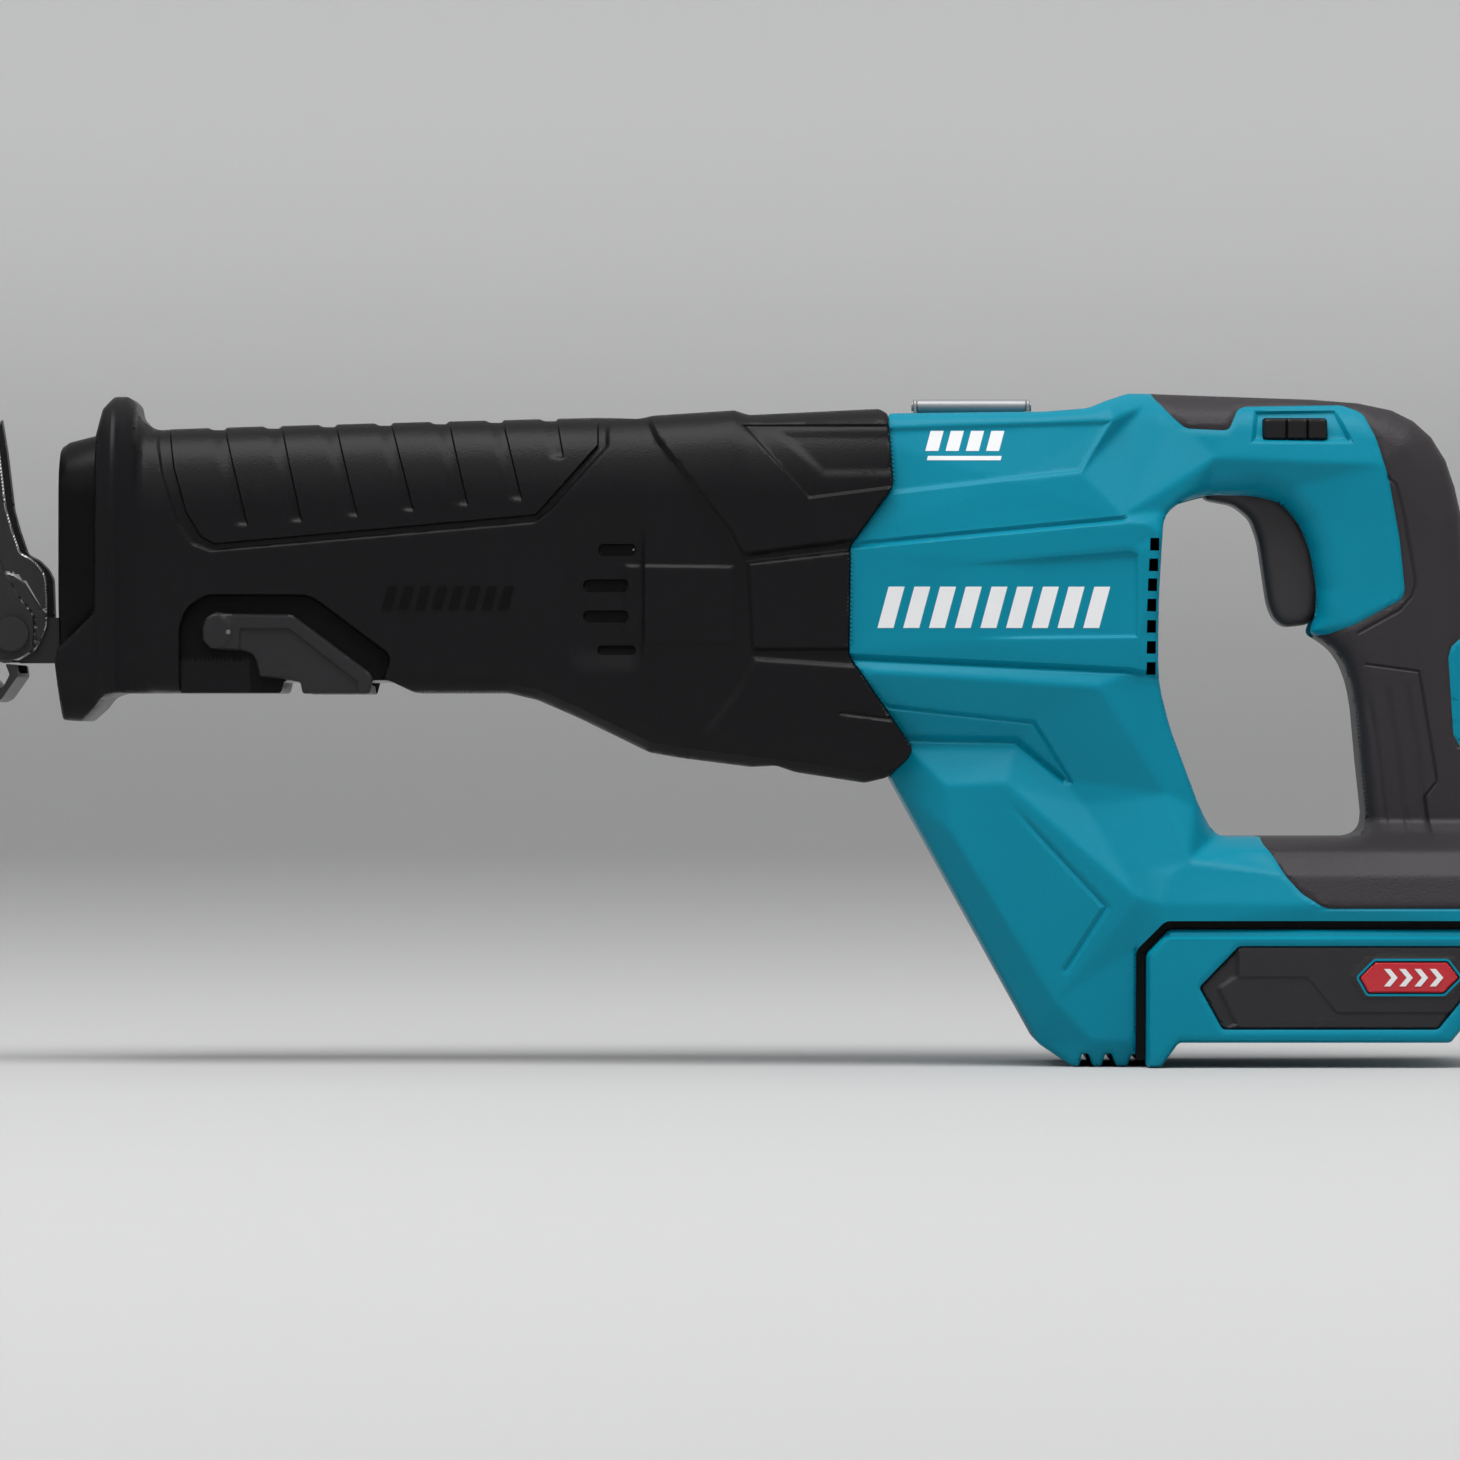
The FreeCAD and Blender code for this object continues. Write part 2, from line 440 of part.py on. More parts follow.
# ---- drive --------------------------------------------------------------------------------------
PITCH = 2 * math.pi * GEAR_MEAN_RADIUS / GEAR_TEETH
PINION_PITCH_RADIUS = GEAR_MEAN_RADIUS * PINION_TEETH / GEAR_TEETH
ADDENDUM = 0.9
DEDENDUM = 1.3
TOOTH_THICKNESS = 1.25
FLANK = math.tan(math.radians(20.0))


def pinion_tooth(angle):
    """One tooth of the pinion as a YZ polygon about its own axis, pointing along angle."""
    tip = PINION_PITCH_RADIUS + ADDENDUM
    root = PINION_PITCH_RADIUS - DEDENDUM - 0.3
    half_tip = TOOTH_THICKNESS / 2 - 0.42
    half_root = TOOTH_THICKNESS / 2 + 0.12
    corners = [(root, -half_root), (PINION_PITCH_RADIUS, -TOOTH_THICKNESS / 2), (tip, -half_tip),
               (tip, half_tip), (PINION_PITCH_RADIUS, TOOTH_THICKNESS / 2), (root, half_root)]
    c, s = math.cos(angle), math.sin(angle)
    return [(r * c - w * s, MOTOR_Z + r * s + w * c) for r, w in corners]


def make_crank():
    """The face gear with its shaft, the crank pin and their bearings."""
    pitch_z = MOTOR_Z - PINION_PITCH_RADIUS
    root_z = pitch_z - DEDENDUM
    tip_z = pitch_z + ADDENDUM
    disc = rod_z(112.0, root_z, 29.5, CRANK_X).cut(rod_z(116.5, root_z, 22.4, CRANK_X))
    half_root = TOOTH_THICKNESS / 2 + DEDENDUM * FLANK
    half_tip = TOOTH_THICKNESS / 2 - ADDENDUM * FLANK
    tooth = cross([(-half_root, root_z - 0.5), (half_root, root_z - 0.5), (half_tip, tip_z), (-half_tip, tip_z)],
                  CRANK_X + 23.2, CRANK_X + 29.0)
    teeth = []
    for i in range(GEAR_TEETH):
        turned = tooth.copy()
        turned.rotate(Vector(CRANK_X, 0, 0), Vector(0, 0, 1), (i + 0.5) * 360.0 / GEAR_TEETH)
        teeth.append(turned)
    shaft = rod_z(91.5, 112.0, 7.5, CRANK_X)
    boss = rod_z(116.5, 124.0, 6.9, CRANK_X, CRANK_RADIUS)
    gear = fuse_all([disc] + teeth + [shaft, boss])
    gear = gear.cut(rod_z(112.0, 130.0, 5.0, CRANK_X, CRANK_RADIUS))
    save("crank_gear", gear)
    save("crank_pin", rod_z(112.0, 135.4, 5.0, CRANK_X, CRANK_RADIUS))
    for name, z0 in (("crank_bearing_lower", 91.0), ("crank_bearing_upper", 101.5)):
        save(name, rod_z(z0, z0 + 9.0, 16.0, CRANK_X).cut(rod_z(z0, z0 + 9.0, 7.5 + TOUCH, CRANK_X)))


def make_slider():
    """The stroke shaft with its yoke, the roller, the counterweight and the blade clamp."""
    shaft = rod_x(-160.0, CRANK_X - 10.0, 9.0, STROKE_Z)
    yoke = box(CRANK_X - 12.5, CRANK_X + 12.5, -28.0, 28.0, STROKE_Z - 6.5, STROKE_Z + 6.5)
    slot = box(CRANK_X - 8.1, CRANK_X + 8.1, -24.6, 24.6, STROKE_Z - 7.0, STROKE_Z + 7.0)
    blade_way = box(-175.0, -150.0, -0.9, 0.9, STROKE_Z - 10.0, STROKE_Z + 10.0)
    save("stroke_shaft", shaft.fuse(yoke).cut(slot).cut(blade_way))
    roller = rod_z(STROKE_Z - 5.5, STROKE_Z + 5.5, 8.0, CRANK_X, CRANK_RADIUS)
    save("yoke_roller", roller.cut(rod_z(STROKE_Z - 5.5, STROKE_Z + 5.5, 5.1, CRANK_X, CRANK_RADIUS)))
    weight = box(-26.0, 15.0, -20.0, 20.0, 155.0, 168.0).cut(box(-10.0, 0.0, -8.0, 8.0, 150.0, 170.0))
    save("counterweight", weight)
    body = rod_x(-170.0, -143.0, 12.5, STROKE_Z).cut(rod_x(-160.0, -140.0, 9.0, STROKE_Z))
    body = body.cut(box(-175.0, -150.0, -0.9, 0.9, STROKE_Z - 11.0, STROKE_Z + 11.0))
    pin_way = rod_y(-13.0, 13.0, 2.0, -155.0, STROKE_Z + 5.0).common(box(-160.0, -150.0, 0.9, 13.0, 100.0, 200.0))
    save("blade_clamp", body.cut(pin_way))
    save("blade_pin", pin_way.common(rod_x(-170.0, -140.0, 12.4, STROKE_Z)).cut(
        rod_x(-160.0, -140.0, 9.0, STROKE_Z)))
    sleeve = rod_x(-168.0, -145.0, 17.0, STROKE_Z).cut(rod_x(-170.0, -140.0, 12.6, STROKE_Z))
    grips = []
    for i in range(12):
        groove = rod_x(-170.0, -150.0, 1.6, STROKE_Z + 17.4)
        groove.rotate(Vector(0, 0, STROKE_Z), Vector(1, 0, 0), 30.0 * i)
        grips.append(groove)
    save("clamp_sleeve", sleeve.cut(fuse_all(grips)))
    save("clamp_ring", ring_x(-145.0 + GAP, -142.0, 15.0, 12.5, STROKE_Z))


def make_motor():
    """The brushless motor: stator, windings, rotor, fan, bearings, pinion and sensor board."""
    stator = ring_x(52.0, 90.0, 27.0, 16.8, MOTOR_Z)
    slots = []
    for i in range(6):
        slot = box(52.0, 90.0, 16.0, 23.0, MOTOR_Z - 4.0, MOTOR_Z + 4.0)
        slot.rotate(Vector(0, 0, MOTOR_Z), Vector(1, 0, 0), 60.0 * i + 30.0)
        slots.append(slot)
    save("motor_stator", stator.cut(fuse_all(slots)))
    coils = []
    for i in range(6):
        coil = box(47.0, 95.0, 17.6, 24.5, MOTOR_Z - 8.5, MOTOR_Z + 8.5)
        coil = coil.cut(box(51.9, 90.1, 15.0, 26.0, MOTOR_Z - 9.0, MOTOR_Z + 9.0))
        coil = coil.common(ring_x(46.0, 96.0, 26.0, 17.6, MOTOR_Z))
        coil.rotate(Vector(0, 0, MOTOR_Z), Vector(1, 0, 0), 60.0 * i)
        coils += coil.Solids
    save("motor_windings", Part.makeCompound(coils))
    save("motor_rotor", ring_x(51.0, 91.0, 16.0, 4.0, MOTOR_Z))
    shaft = rod_x(26.6, 116.0, 4.0, MOTOR_Z).fuse(rod_x(18.5, 26.6, 3.0, MOTOR_Z))
    save("motor_shaft", shaft)
    hub_r = PINION_PITCH_RADIUS - DEDENDUM
    teeth = [cross(pinion_tooth(-math.pi / 2 + 2 * math.pi * i / PINION_TEETH), CRANK_X + 23.0, CRANK_X + 29.4)
             for i in range(PINION_TEETH)]
    pinion = fuse_all([rod_x(CRANK_X + 23.0, CRANK_X + 29.4, hub_r, MOTOR_Z)] + teeth)
    save("motor_pinion", pinion.cut(rod_x(0.0, 40.0, 3.0, MOTOR_Z)))
    save("motor_bearing_front", ring_x(28.0, 35.0, 11.0, 4.0 + TOUCH, MOTOR_Z))
    save("motor_bearing_rear", ring_x(110.5, 115.5, 8.0, 4.0 + TOUCH, MOTOR_Z))
    hub = ring_x(97.5, 107.0, 7.0, 4.0, MOTOR_Z)
    disc = ring_x(97.5, 99.0, 25.0, 4.0, MOTOR_Z)
    blades = []
    for i in range(13):
        blade = box(98.5, 106.5, -0.6, 0.6, MOTOR_Z + 6.5, MOTOR_Z + 25.0)
        blade.rotate(Vector(0, 0, MOTOR_Z), Vector(1, 0, 0), 360.0 / 13 * i)
        blades.append(blade)
    save("motor_fan", fuse_all([hub, disc] + blades))
    save("sensor_board", ring_x(95.3, 96.7, 24.0, 9.0, MOTOR_Z))


def make_controls(housing):
    """The trigger and its pin, the switch, the lock button, the control unit and the top hook."""
    trigger = bevelled(TRIGGER_SIDE, TRIGGER_HALF, 1.4, 1.8)
    save("trigger", trigger.cut(rod_y(-20.0, 20.0, 2.0 + TOUCH, *TRIGGER_PIVOT)))
    save("trigger_pin", rod_y(-14.5, 14.5, 2.0, *TRIGGER_PIVOT))
    switch = box(177.5, 192.0, -11.0, 11.0, 128.0, 164.0).fuse(box(175.0, 178.0, -4.0, 4.0, 140.0, 150.0))
    save("switch_module", switch)
    y0 = -HANDLE_HALF - 0.8
    button = box(*BUTTON_X, y0, y0 + 2 * HANDLE_HALF - 2.0, *BUTTON_Z)
    for x in (157.0, 163.0):
        button = button.cut(box(x - 0.4, x + 0.4, -25.0, y0 + 1.0, *BUTTON_Z))
    save("lock_button", button)
    unit = box(78.0, 108.0, -22.0, 22.0, 46.0, 84.0)
    fins = [box(80.0 + 5.0 * i, 82.5 + 5.0 * i, -20.0, 20.0, 85.0, 89.0) for i in range(5)]
    save("control_unit", unit)
    save("heat_sink", Part.makeCompound([fuse_all([box(79.0, 107.0, -21.0, 21.0, 84.0, 85.5)] + fins)]))
    y, z = HOOK_PIVOT
    x0, x1 = HOOK_X
    strip = [(y, z - 1.0), (26.2, z - 1.0), (30.8, 179.5), (34.8, 163.0), (37.4, 153.5), (39.6, 151.8),
             (41.8, 153.6), (40.4, 155.0), (39.4, 154.8), (37.2, 163.6), (32.8, 181.2), (27.4, z + 1.4),
             (y, z + 1.4)]
    hook = cross(strip, x0, x1).fuse(rod_x(x0, x1, 2.0, z, y)).cut(rod_x(x0 - 1, x1 + 1, 1.2 + TOUCH, z, y))
    save("hang_hook", hook)
    ears = [box(x, x + 2.4, y - 3.0, y + 3.0, 178.0, z + 1.8).cut(rod_x(x - 1, x + 4, 1.2, z, y))
            for x in (x0 - 2.7, x1 + 0.3)]
    ears = [ear.cut(housing) for ear in ears]
    save("hook_bracket", Part.makeCompound(ears))
    save("hook_pin", rod_x(x0 - 2.7, x1 + 2.7, 1.2, z, y))


os.makedirs("parts", exist_ok=True)
housing_solid = make_housing()
make_cradle()
make_front()
make_shoe()
make_crank()
make_slider()
make_motor()
make_controls(housing_solid)
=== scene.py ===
"""Looks of the cordless reciprocating saw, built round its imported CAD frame.

Shapes are given in millimetres in the frame's own axes. The moulded shells are relief surfaces: a side
outline in (x, z), a half-width for every point of it, and an inner face that follows it at the wall's
thickness.
"""
import json
import math

import bpy
import bmesh
import numpy as np
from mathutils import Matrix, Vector
from mathutils.geometry import delaunay_2d_cdt


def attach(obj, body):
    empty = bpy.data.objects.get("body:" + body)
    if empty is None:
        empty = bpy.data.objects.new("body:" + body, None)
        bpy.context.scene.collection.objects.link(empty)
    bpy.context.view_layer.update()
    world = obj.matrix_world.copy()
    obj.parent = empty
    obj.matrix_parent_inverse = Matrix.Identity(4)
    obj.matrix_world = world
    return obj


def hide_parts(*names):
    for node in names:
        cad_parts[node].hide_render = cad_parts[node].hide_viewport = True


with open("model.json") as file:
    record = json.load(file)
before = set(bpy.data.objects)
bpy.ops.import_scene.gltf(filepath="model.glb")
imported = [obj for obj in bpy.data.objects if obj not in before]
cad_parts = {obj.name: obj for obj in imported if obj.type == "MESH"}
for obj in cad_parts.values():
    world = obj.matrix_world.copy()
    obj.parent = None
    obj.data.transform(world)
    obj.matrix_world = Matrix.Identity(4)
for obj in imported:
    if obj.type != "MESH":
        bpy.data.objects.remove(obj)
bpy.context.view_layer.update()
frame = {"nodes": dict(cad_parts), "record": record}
scene = bpy.context.scene
MM = 0.001

# ---- outlines and lines, (x, z) in millimetres --------------------------------------------------
TOP_LINE = [(46.5, 181), (89.5, 181.5), (102, 182.5), (107, 184.6), (113.5, 186.9), (120, 187),
    (165, 185.5), (178, 184.5), (187.5, 182.5), (193.5, 179.5), (198.5, 175), (202.5, 168.5), (205, 161),
    (207, 152), (208, 143)]
REAR_LINE = [(210, 125), (213, 90), (215, 68), (217.5, 61), (218.3, 52), (218.3, 40.6)]
FOOT_LINE = [(122.8, 40.6), (115, 32.5), (115, 3.4), (114, 3.8), (112.8, 0.1), (109.6, 0.1), (108.4, 3.8),
    (106.6, 3.8), (105.6, 0.1), (103.2, 0.1), (102, 3.8), (100.2, 3.8), (99.4, 0.1), (97.6, 0.1), (88, 6.5),
    (47, 80.5)]
SEAM_LINE = [(52, 85), (53.5, 88), (38, 110.5), (35.7, 114), (36.1, 144), (48, 160.5)]
HOUSING = TOP_LINE + REAR_LINE + FOOT_LINE + SEAM_LINE
OPENING = [(122.3, 146.5), (123, 152.5), (127.5, 156.5), (136, 158.8), (149, 158.5), (156.5, 156.5),
    (161.5, 150.5), (164.5, 143), (166.3, 132.5), (166, 125), (164, 120.3), (169, 117.5), (172.5, 114),
    (175, 109), (176.8, 101.5), (178.3, 85), (180, 69), (179, 65), (176, 63.5), (139.5, 63.5),
    (136.5, 65.5), (133, 71.5), (129, 82), (124.5, 94), (121.8, 104.5), (121.2, 110), (121.4, 130)]
RUBBER = [(119.5, 190), (120, 186.5), (126.5, 179.5), (129.5, 177), (141.5, 176.5), (144, 182.3),
    (146, 183.3), (173.5, 183.8), (179, 181.5), (182.5, 174.5), (186, 163), (189, 146.5), (190.5, 132),
    (189.5, 129.5), (176.5, 122.5), (169, 119.8), (160, 119), (150, 75), (150, 62), (152.5, 59), (156, 53),
    (160.5, 48), (167, 44), (225, 44), (225, 190)]
RIB_TOPS = [-137.6, -122.4, -107, -91.4, -76, -60.6, -45.5]
RIB_DIPS = []
for rib_x in RIB_TOPS:
    rib_z = 176.9 + (rib_x + 153) * 0.0262
    RIB_DIPS += [(rib_x - 4.6, rib_z), (rib_x - 3.4, rib_z - 0.7), (rib_x, rib_z - 0.7),
                 (rib_x + 0.5, rib_z + 0.1)]
BOOT = [(-171.3, 182.3), (-168.2, 186), (-164.5, 186), (-162.4, 184), (-161.8, 180.6), (-159.5, 178.2),
    (-156, 176.6), (-153, 176.9)] + RIB_DIPS + [(-33.5, 180), (-22.5, 179.5), (-18, 180.5), (4, 181.9),
    (8, 180.6), (44, 182.3), (46.5, 180.8), (47.8, 160.6), (35.8, 144.1), (35.4, 113.9), (37.8, 110.3),
    (53.2, 88), (51.7, 85.2), (46, 80), (40, 78.6), (21, 81.5), (15.5, 83.4), (8.5, 83), (-11, 85.5),
    (-19.5, 87), (-39, 96.5), (-50.5, 101.5), (-59, 103.5), (-84.5, 103.5), (-91.8, 107), (-120.7, 107),
    (-121.5, 103.5), (-168, 103.5), (-171, 102.3), (-173.2, 99.2), (-177, 95.6), (-182, 96),
    (-183.9, 111.5), (-183.4, 115.4), (-173.2, 125.5), (-173, 174.5)]
LEVER_POCKET = [(-149.5, 99), (-149.5, 122), (-147.5, 127), (-142.5, 130.5), (-114.5, 130.5), (-111.5, 129),
    (-92, 114.4), (-91.5, 112.5), (-93, 108), (-96, 99)]


# ---- plane geometry -----------------------------------------------------------------------------
def pairs(line, closed=True):
    """The line's neighbouring points, two by two."""
    return list(zip(line, line[1:] + line[:1] if closed else line[1:]))


def inside(points, loop):
    """Which points lie in the closed loop."""
    x, z = points[:, 0], points[:, 1]
    found = np.zeros(len(points), bool)
    for (x0, z0), (x1, z1) in pairs(loop):
        if z0 == z1:
            continue
        crosses = (z0 > z) != (z1 > z)
        found ^= crosses & (x < (x1 - x0) * (z - z0) / (z1 - z0) + x0)
    return found


def distance(points, line, closed=False):
    """Distance from each point to a polyline."""
    best = np.full(len(points), 1e9)
    for (x0, z0), (x1, z1) in pairs(line, closed):
        dx, dz = x1 - x0, z1 - z0
        length = dx * dx + dz * dz
        if length < 1e-12:
            continue
        t = np.clip(((points[:, 0] - x0) * dx + (points[:, 1] - z0) * dz) / length, 0, 1)
        best = np.minimum(best, np.hypot(points[:, 0] - x0 - t * dx, points[:, 1] - z0 - t * dz))
    return best


def depth_in(points, loop):
    """Distance to the loop, positive inside and negative outside."""
    d = distance(points, loop, True)
    return np.where(inside(points, loop), d, -d)


def ease(t):
    """A smooth step from 0 to 1."""
    t = np.clip(t, 0, 1)
    return t * t * (3 - 2 * t)


def pad(points, loop, height, width):
    """A raised or sunk area with sloping sides just inside its loop."""
    return height * ease(depth_in(points, loop) / width)


def groove(points, line, depth, width, fade=0):
    """A rounded groove along a line, dying out over fade at its first end."""
    cut = -depth * ease(1 - distance(points, line) / width)
    if fade:
        start = np.hypot(points[:, 0] - line[0][0], points[:, 1] - line[0][1])
        cut *= ease(start / fade)
    return cut


def rounded(d, inward, reach):
    """How much an elliptical edge takes off the half-width at distance d from the outline."""
    u = 1 - np.clip(d / reach, 0, 1)
    return inward * (1 - np.sqrt(np.clip(1 - u * u, 0, 1)))


def soften(loop, radius, steps=4):
    """The closed loop with its corners rounded."""
    out = []
    for before, here, after in zip(loop[-1:] + loop[:-1], loop, loop[1:] + loop[:1]):
        a, p, b = Vector(before), Vector(here), Vector(after)
        cut = min(radius, (a - p).length * 0.45, (b - p).length * 0.45)
        start = p + (a - p).normalized() * cut
        end = p + (b - p).normalized() * cut
        for k in range(steps + 1):
            t = k / steps
            q = start * (1 - t) ** 2 + p * 2 * t * (1 - t) + end * t ** 2
            out.append((q.x, q.y))
    return out


def circle(x, z, radius, count=24):
    """A closed loop round (x, z)."""
    turns = [k * math.pi / (count // 2) for k in range(count)]
    return [(x + radius * math.cos(a), z + radius * math.sin(a)) for a in turns]


def shut(loop):
    """The loop with its first point again at the end, as a line all the way round."""
    return loop + loop[:1]


def area_of(loop):
    """Twice the loop's signed area."""
    return sum(a[0] * b[1] - b[0] * a[1] for a, b in pairs(loop))


def resample(line, step, closed):
    """Points along a polyline no further apart than step, corners kept."""
    out = []
    for (x0, z0), (x1, z1) in pairs(line, closed):
        n = max(1, int(math.ceil(math.hypot(x1 - x0, z1 - z0) / step)))
        out += [(x0 + (x1 - x0) * k / n, z0 + (z1 - z0) * k / n) for k in range(n)]
    return out if closed else out + [line[-1]]


def ring_points(loop, distances, step):
    """Points inside the loop at set distances from it, or outside it for negative distances."""
    samples = resample(loop, step, True)
    turn = 1 if area_of(loop) > 0 else -1
    found = []
    for d in distances:
        ring = []
        for (x0, z0), (x1, z1) in pairs(samples):
            dx, dz = x1 - x0, z1 - z0
            size = math.hypot(dx, dz)
            if size > 1e-9:
                ring.append(((x0 + x1) / 2 - turn * d * dz / size, (z0 + z1) / 2 + turn * d * dx / size))
        ring = np.array(ring)
        found.append(ring[distance(ring, loop, True) > 0.93 * abs(d)])
    return np.concatenate(found)


class Facets:
    """Half-widths given at chosen points, flat in between, with a small blend at the creases."""

    def __init__(self, nodes, creases=(), blend=0.8):
        names = list(nodes)
        flat = [Vector(nodes[n][:2]) for n in names]
        edges = [(names.index(a), names.index(b)) for line in creases for a, b in pairs(line, False)]
        verts, _, faces, origin, _, _ = delaunay_2d_cdt(flat, edges, [], 0, 1e-6)
        heights = []
        for vert, source in zip(verts, origin):
            if source:
                heights.append(nodes[names[source[0]]][2])
            else:
                near = sorted(names, key=lambda n: (Vector(nodes[n][:2]) - vert).length)[:2]
                heights.append(sum(nodes[n][2] for n in near) / 2)
        self.tris = [[(verts[i].x, verts[i].y, heights[i]) for i in f] for f in faces]
        self.blend = blend

    def raw(self, points):
        """Half-widths on the flat facets, without the blend."""
        x, z = points[:, 0], points[:, 1]
        out = np.zeros(len(points))
        best = np.full(len(points), -1e9)
        for (x0, z0, h0), (x1, z1, h1), (x2, z2, h2) in self.tris:
            det = (z1 - z2) * (x0 - x2) + (x2 - x1) * (z0 - z2)
            if abs(det) < 1e-9:
                continue
            a = ((z1 - z2) * (x - x2) + (x2 - x1) * (z - z2)) / det
            b = ((z2 - z0) * (x - x2) + (x0 - x2) * (z - z2)) / det
            c = 1 - a - b
            score = np.minimum(np.minimum(a, b), c)
            take = score > best
            best[take] = score[take]
            out[take] = (a * h0 + b * h1 + c * h2)[take]
        return out

    def __call__(self, points):
        """Half-widths averaged over each point and a small ring round it."""
        total = self.raw(points) * 2
        for k in range(8):
            angle = math.pi / 4 * k
            shift = np.array([math.cos(angle), math.sin(angle)]) * self.blend
            total += self.raw(points + shift)
        return total / 10


def parallel(line, d, closed=False):
    """The polyline moved sideways by d: inwards on a closed loop, to the left of an open one."""
    if closed and area_of(line) <= 0:
        d = -d
    before = line[-1:] + line[:-1] if closed else line[:1] + line[:-1]
    after = line[1:] + line[:1] if closed else line[1:] + line[-1:]
    moved = []
    for a, p, b in zip(before, line, after):
        first = (Vector(p) - Vector(a)).normalized()
        second = (Vector(b) - Vector(p)).normalized()
        way = (first + second).normalized()
        one = first if first.length > 0 else second
        reach = 1 / max(0.2, way.dot(one))
        moved.append((p[0] - way.y * d * reach, p[1] + way.x * d * reach))
    keep = distance(np.array(moved), line, closed) > 0.6 * abs(d)
    return [q for q, k in zip(moved, keep) if k]


def banks(line, width, closed=False, twoside=True):
    """The line with its parallels, so that edges of the surface follow a groove or a slope."""
    shifts = (-width, -width / 2, width / 2, width) if twoside else (width / 4, width * 3 / 4, width)
    moved = [parallel(line, d, closed) for d in shifts]
    found = [line] + [m for m in moved if len(m) > 2 - (not closed)]
    return [shut(f) for f in found] if closed else found


EDGE_GAP = 0.45
EDGE_GAP_BY_RINGS = 0.35


def triangulate(loops, lines, extra, spacing):
    """Triangles over the loops' outer area, with every loop and line kept as edges.

    Fill points stay clear of the edges by a share of the spacing, a smaller one where rings are given.
    """
    verts, edges = [], []
    kept = [(loop, True) for loop in loops] + [(line, False) for line in lines]
    for line, closed in kept:
        dense = resample(line, spacing, closed)
        first = len(verts)
        verts += dense
        edges += [(first + k, first + k + 1) for k in range(len(dense) - 1)]
        if closed:
            edges.append((first + len(dense) - 1, first))
    low, high = np.min(verts, 0), np.max(verts, 0)
    rows = []
    for j, z in enumerate(np.arange(low[1], high[1], spacing * 0.87)):
        x = np.arange(low[0] + (j % 2) * spacing / 2, high[0], spacing)
        rows.append(np.column_stack([x, np.full(len(x), z)]))
    grid = np.concatenate(rows)
    far = np.ones(len(grid), bool)
    if len(extra):
        cells = {(round(x / spacing), round(z / spacing)) for x, z in extra}
        far = np.array([(round(x / spacing), round(z / spacing)) not in cells for x, z in grid])
    fill = np.concatenate([grid[far], extra]) if len(extra) else grid
    clear = spacing * EDGE_GAP * (EDGE_GAP_BY_RINGS if len(extra) else 1)
    for line, closed in kept:
        fill = fill[distance(fill, line, closed) > clear]
    unique = {}
    for x, z in fill:
        unique.setdefault((round(x / 0.3), round(z / 0.3)), (x, z))
    points = [Vector(v) for v in verts] + [Vector(v) for v in unique.values()]
    out, _, faces, _, _, _ = delaunay_2d_cdt(points, edges, [], 0, 1e-5)
    return np.array([(v.x, v.y) for v in out]), np.array([tuple(f) for f in faces if len(f) == 3])


# ---- pieces -------------------------------------------------------------------------------------
SHARP_ANGLE = 32
SIDES = ((-1, "left"), (1, "right"))


def piece(name, shape, material, body, nodes, second=None, where=None):
    """A mesh object from vertices in mm and faces, riding its body and standing for its CAD nodes.

    Faces whose middle passes the where test wear the second material.
    """
    verts, faces = shape
    mesh = bpy.data.meshes.new(name)
    places = [tuple(c * MM for c in v) for v in verts]
    mesh.from_pydata(places, [], [tuple(int(i) for i in f) for f in faces])
    if second:
        place = np.array(verts)
        middles = np.array([place[list(f)].mean(0) for f in faces])
        mesh.polygons.foreach_set("material_index", np.asarray(where(middles), np.int32))
    bm = bmesh.new()
    bm.from_mesh(mesh)
    bmesh.ops.remove_doubles(bm, verts=bm.verts, dist=1e-6)
    bmesh.ops.dissolve_degenerate(bm, edges=bm.edges, dist=1e-7)
    bmesh.ops.recalc_face_normals(bm, faces=bm.faces)
    bm.to_mesh(mesh)
    bm.free()
    mesh.polygons.foreach_set("use_smooth", [True] * len(mesh.polygons))
    mesh.set_sharp_from_angle(angle=math.radians(SHARP_ANGLE))
    mesh.materials.append(material)
    if second:
        mesh.materials.append(second)
    mesh.update()
    obj = bpy.data.objects.new(name, mesh)
    scene.collection.objects.link(obj)
    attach(obj, body)
    if nodes:
        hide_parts(*nodes)
    return obj


def shell_mesh(points, tris, front, back, side, lowest=0):
    """Vertices and faces of a closed relief shell on one side: front, back and the walls between."""
    used = np.unique(tris)
    index = np.full(len(points), -1)
    index[used] = np.arange(len(used))
    p, f, b = points[used], front[used], np.minimum(back[used], front[used] - 0.3)
    b = np.maximum(b, lowest)
    tris = index[tris]
    n = len(used)
    verts = [(x, side * h, z) for (x, z), h in zip(p, f)] + [(x, side * h, z) for (x, z), h in zip(p, b)]
    faces = [tuple(t) for t in tris] + [(t[0] + n, t[2] + n, t[1] + n) for t in tris]
    count = {}
    for t in tris:
        for i, j in ((t[0], t[1]), (t[1], t[2]), (t[2], t[0])):
            key = (min(i, j), max(i, j))
            count[key] = count.get(key, 0) + 1
    for (i, j), c in count.items():
        if c == 1:
            faces.append((i, j, j + n, i + n))
    return verts, faces


def both(points, tris, front, back):
    """The shell on the left side and its mirror image on the right."""
    return [shell_mesh(points, tris, front, back, side) for side in (-1, 1)]


def level(points, value):
    """One half-width for every point."""
    return np.full(len(points), value)


def sheet(outline, holes=(), lines=(), spacing=1.2, rings=(0.25, 0.8, 1.6, 2.7)):
    """Points and triangles over an outline with holes."""
    extra = [ring_points(outline, rings, spacing)]
    extra += [ring_points(hole, [-r for r in rings[:3]], spacing) for hole in holes]
    points, tris = triangulate([outline] + list(holes), lines, np.concatenate(extra), spacing)
    centres = points[tris].mean(1)
    keep = inside(centres, outline)
    for hole in holes:
        keep &= ~inside(centres, hole)
    return points, tris[keep]


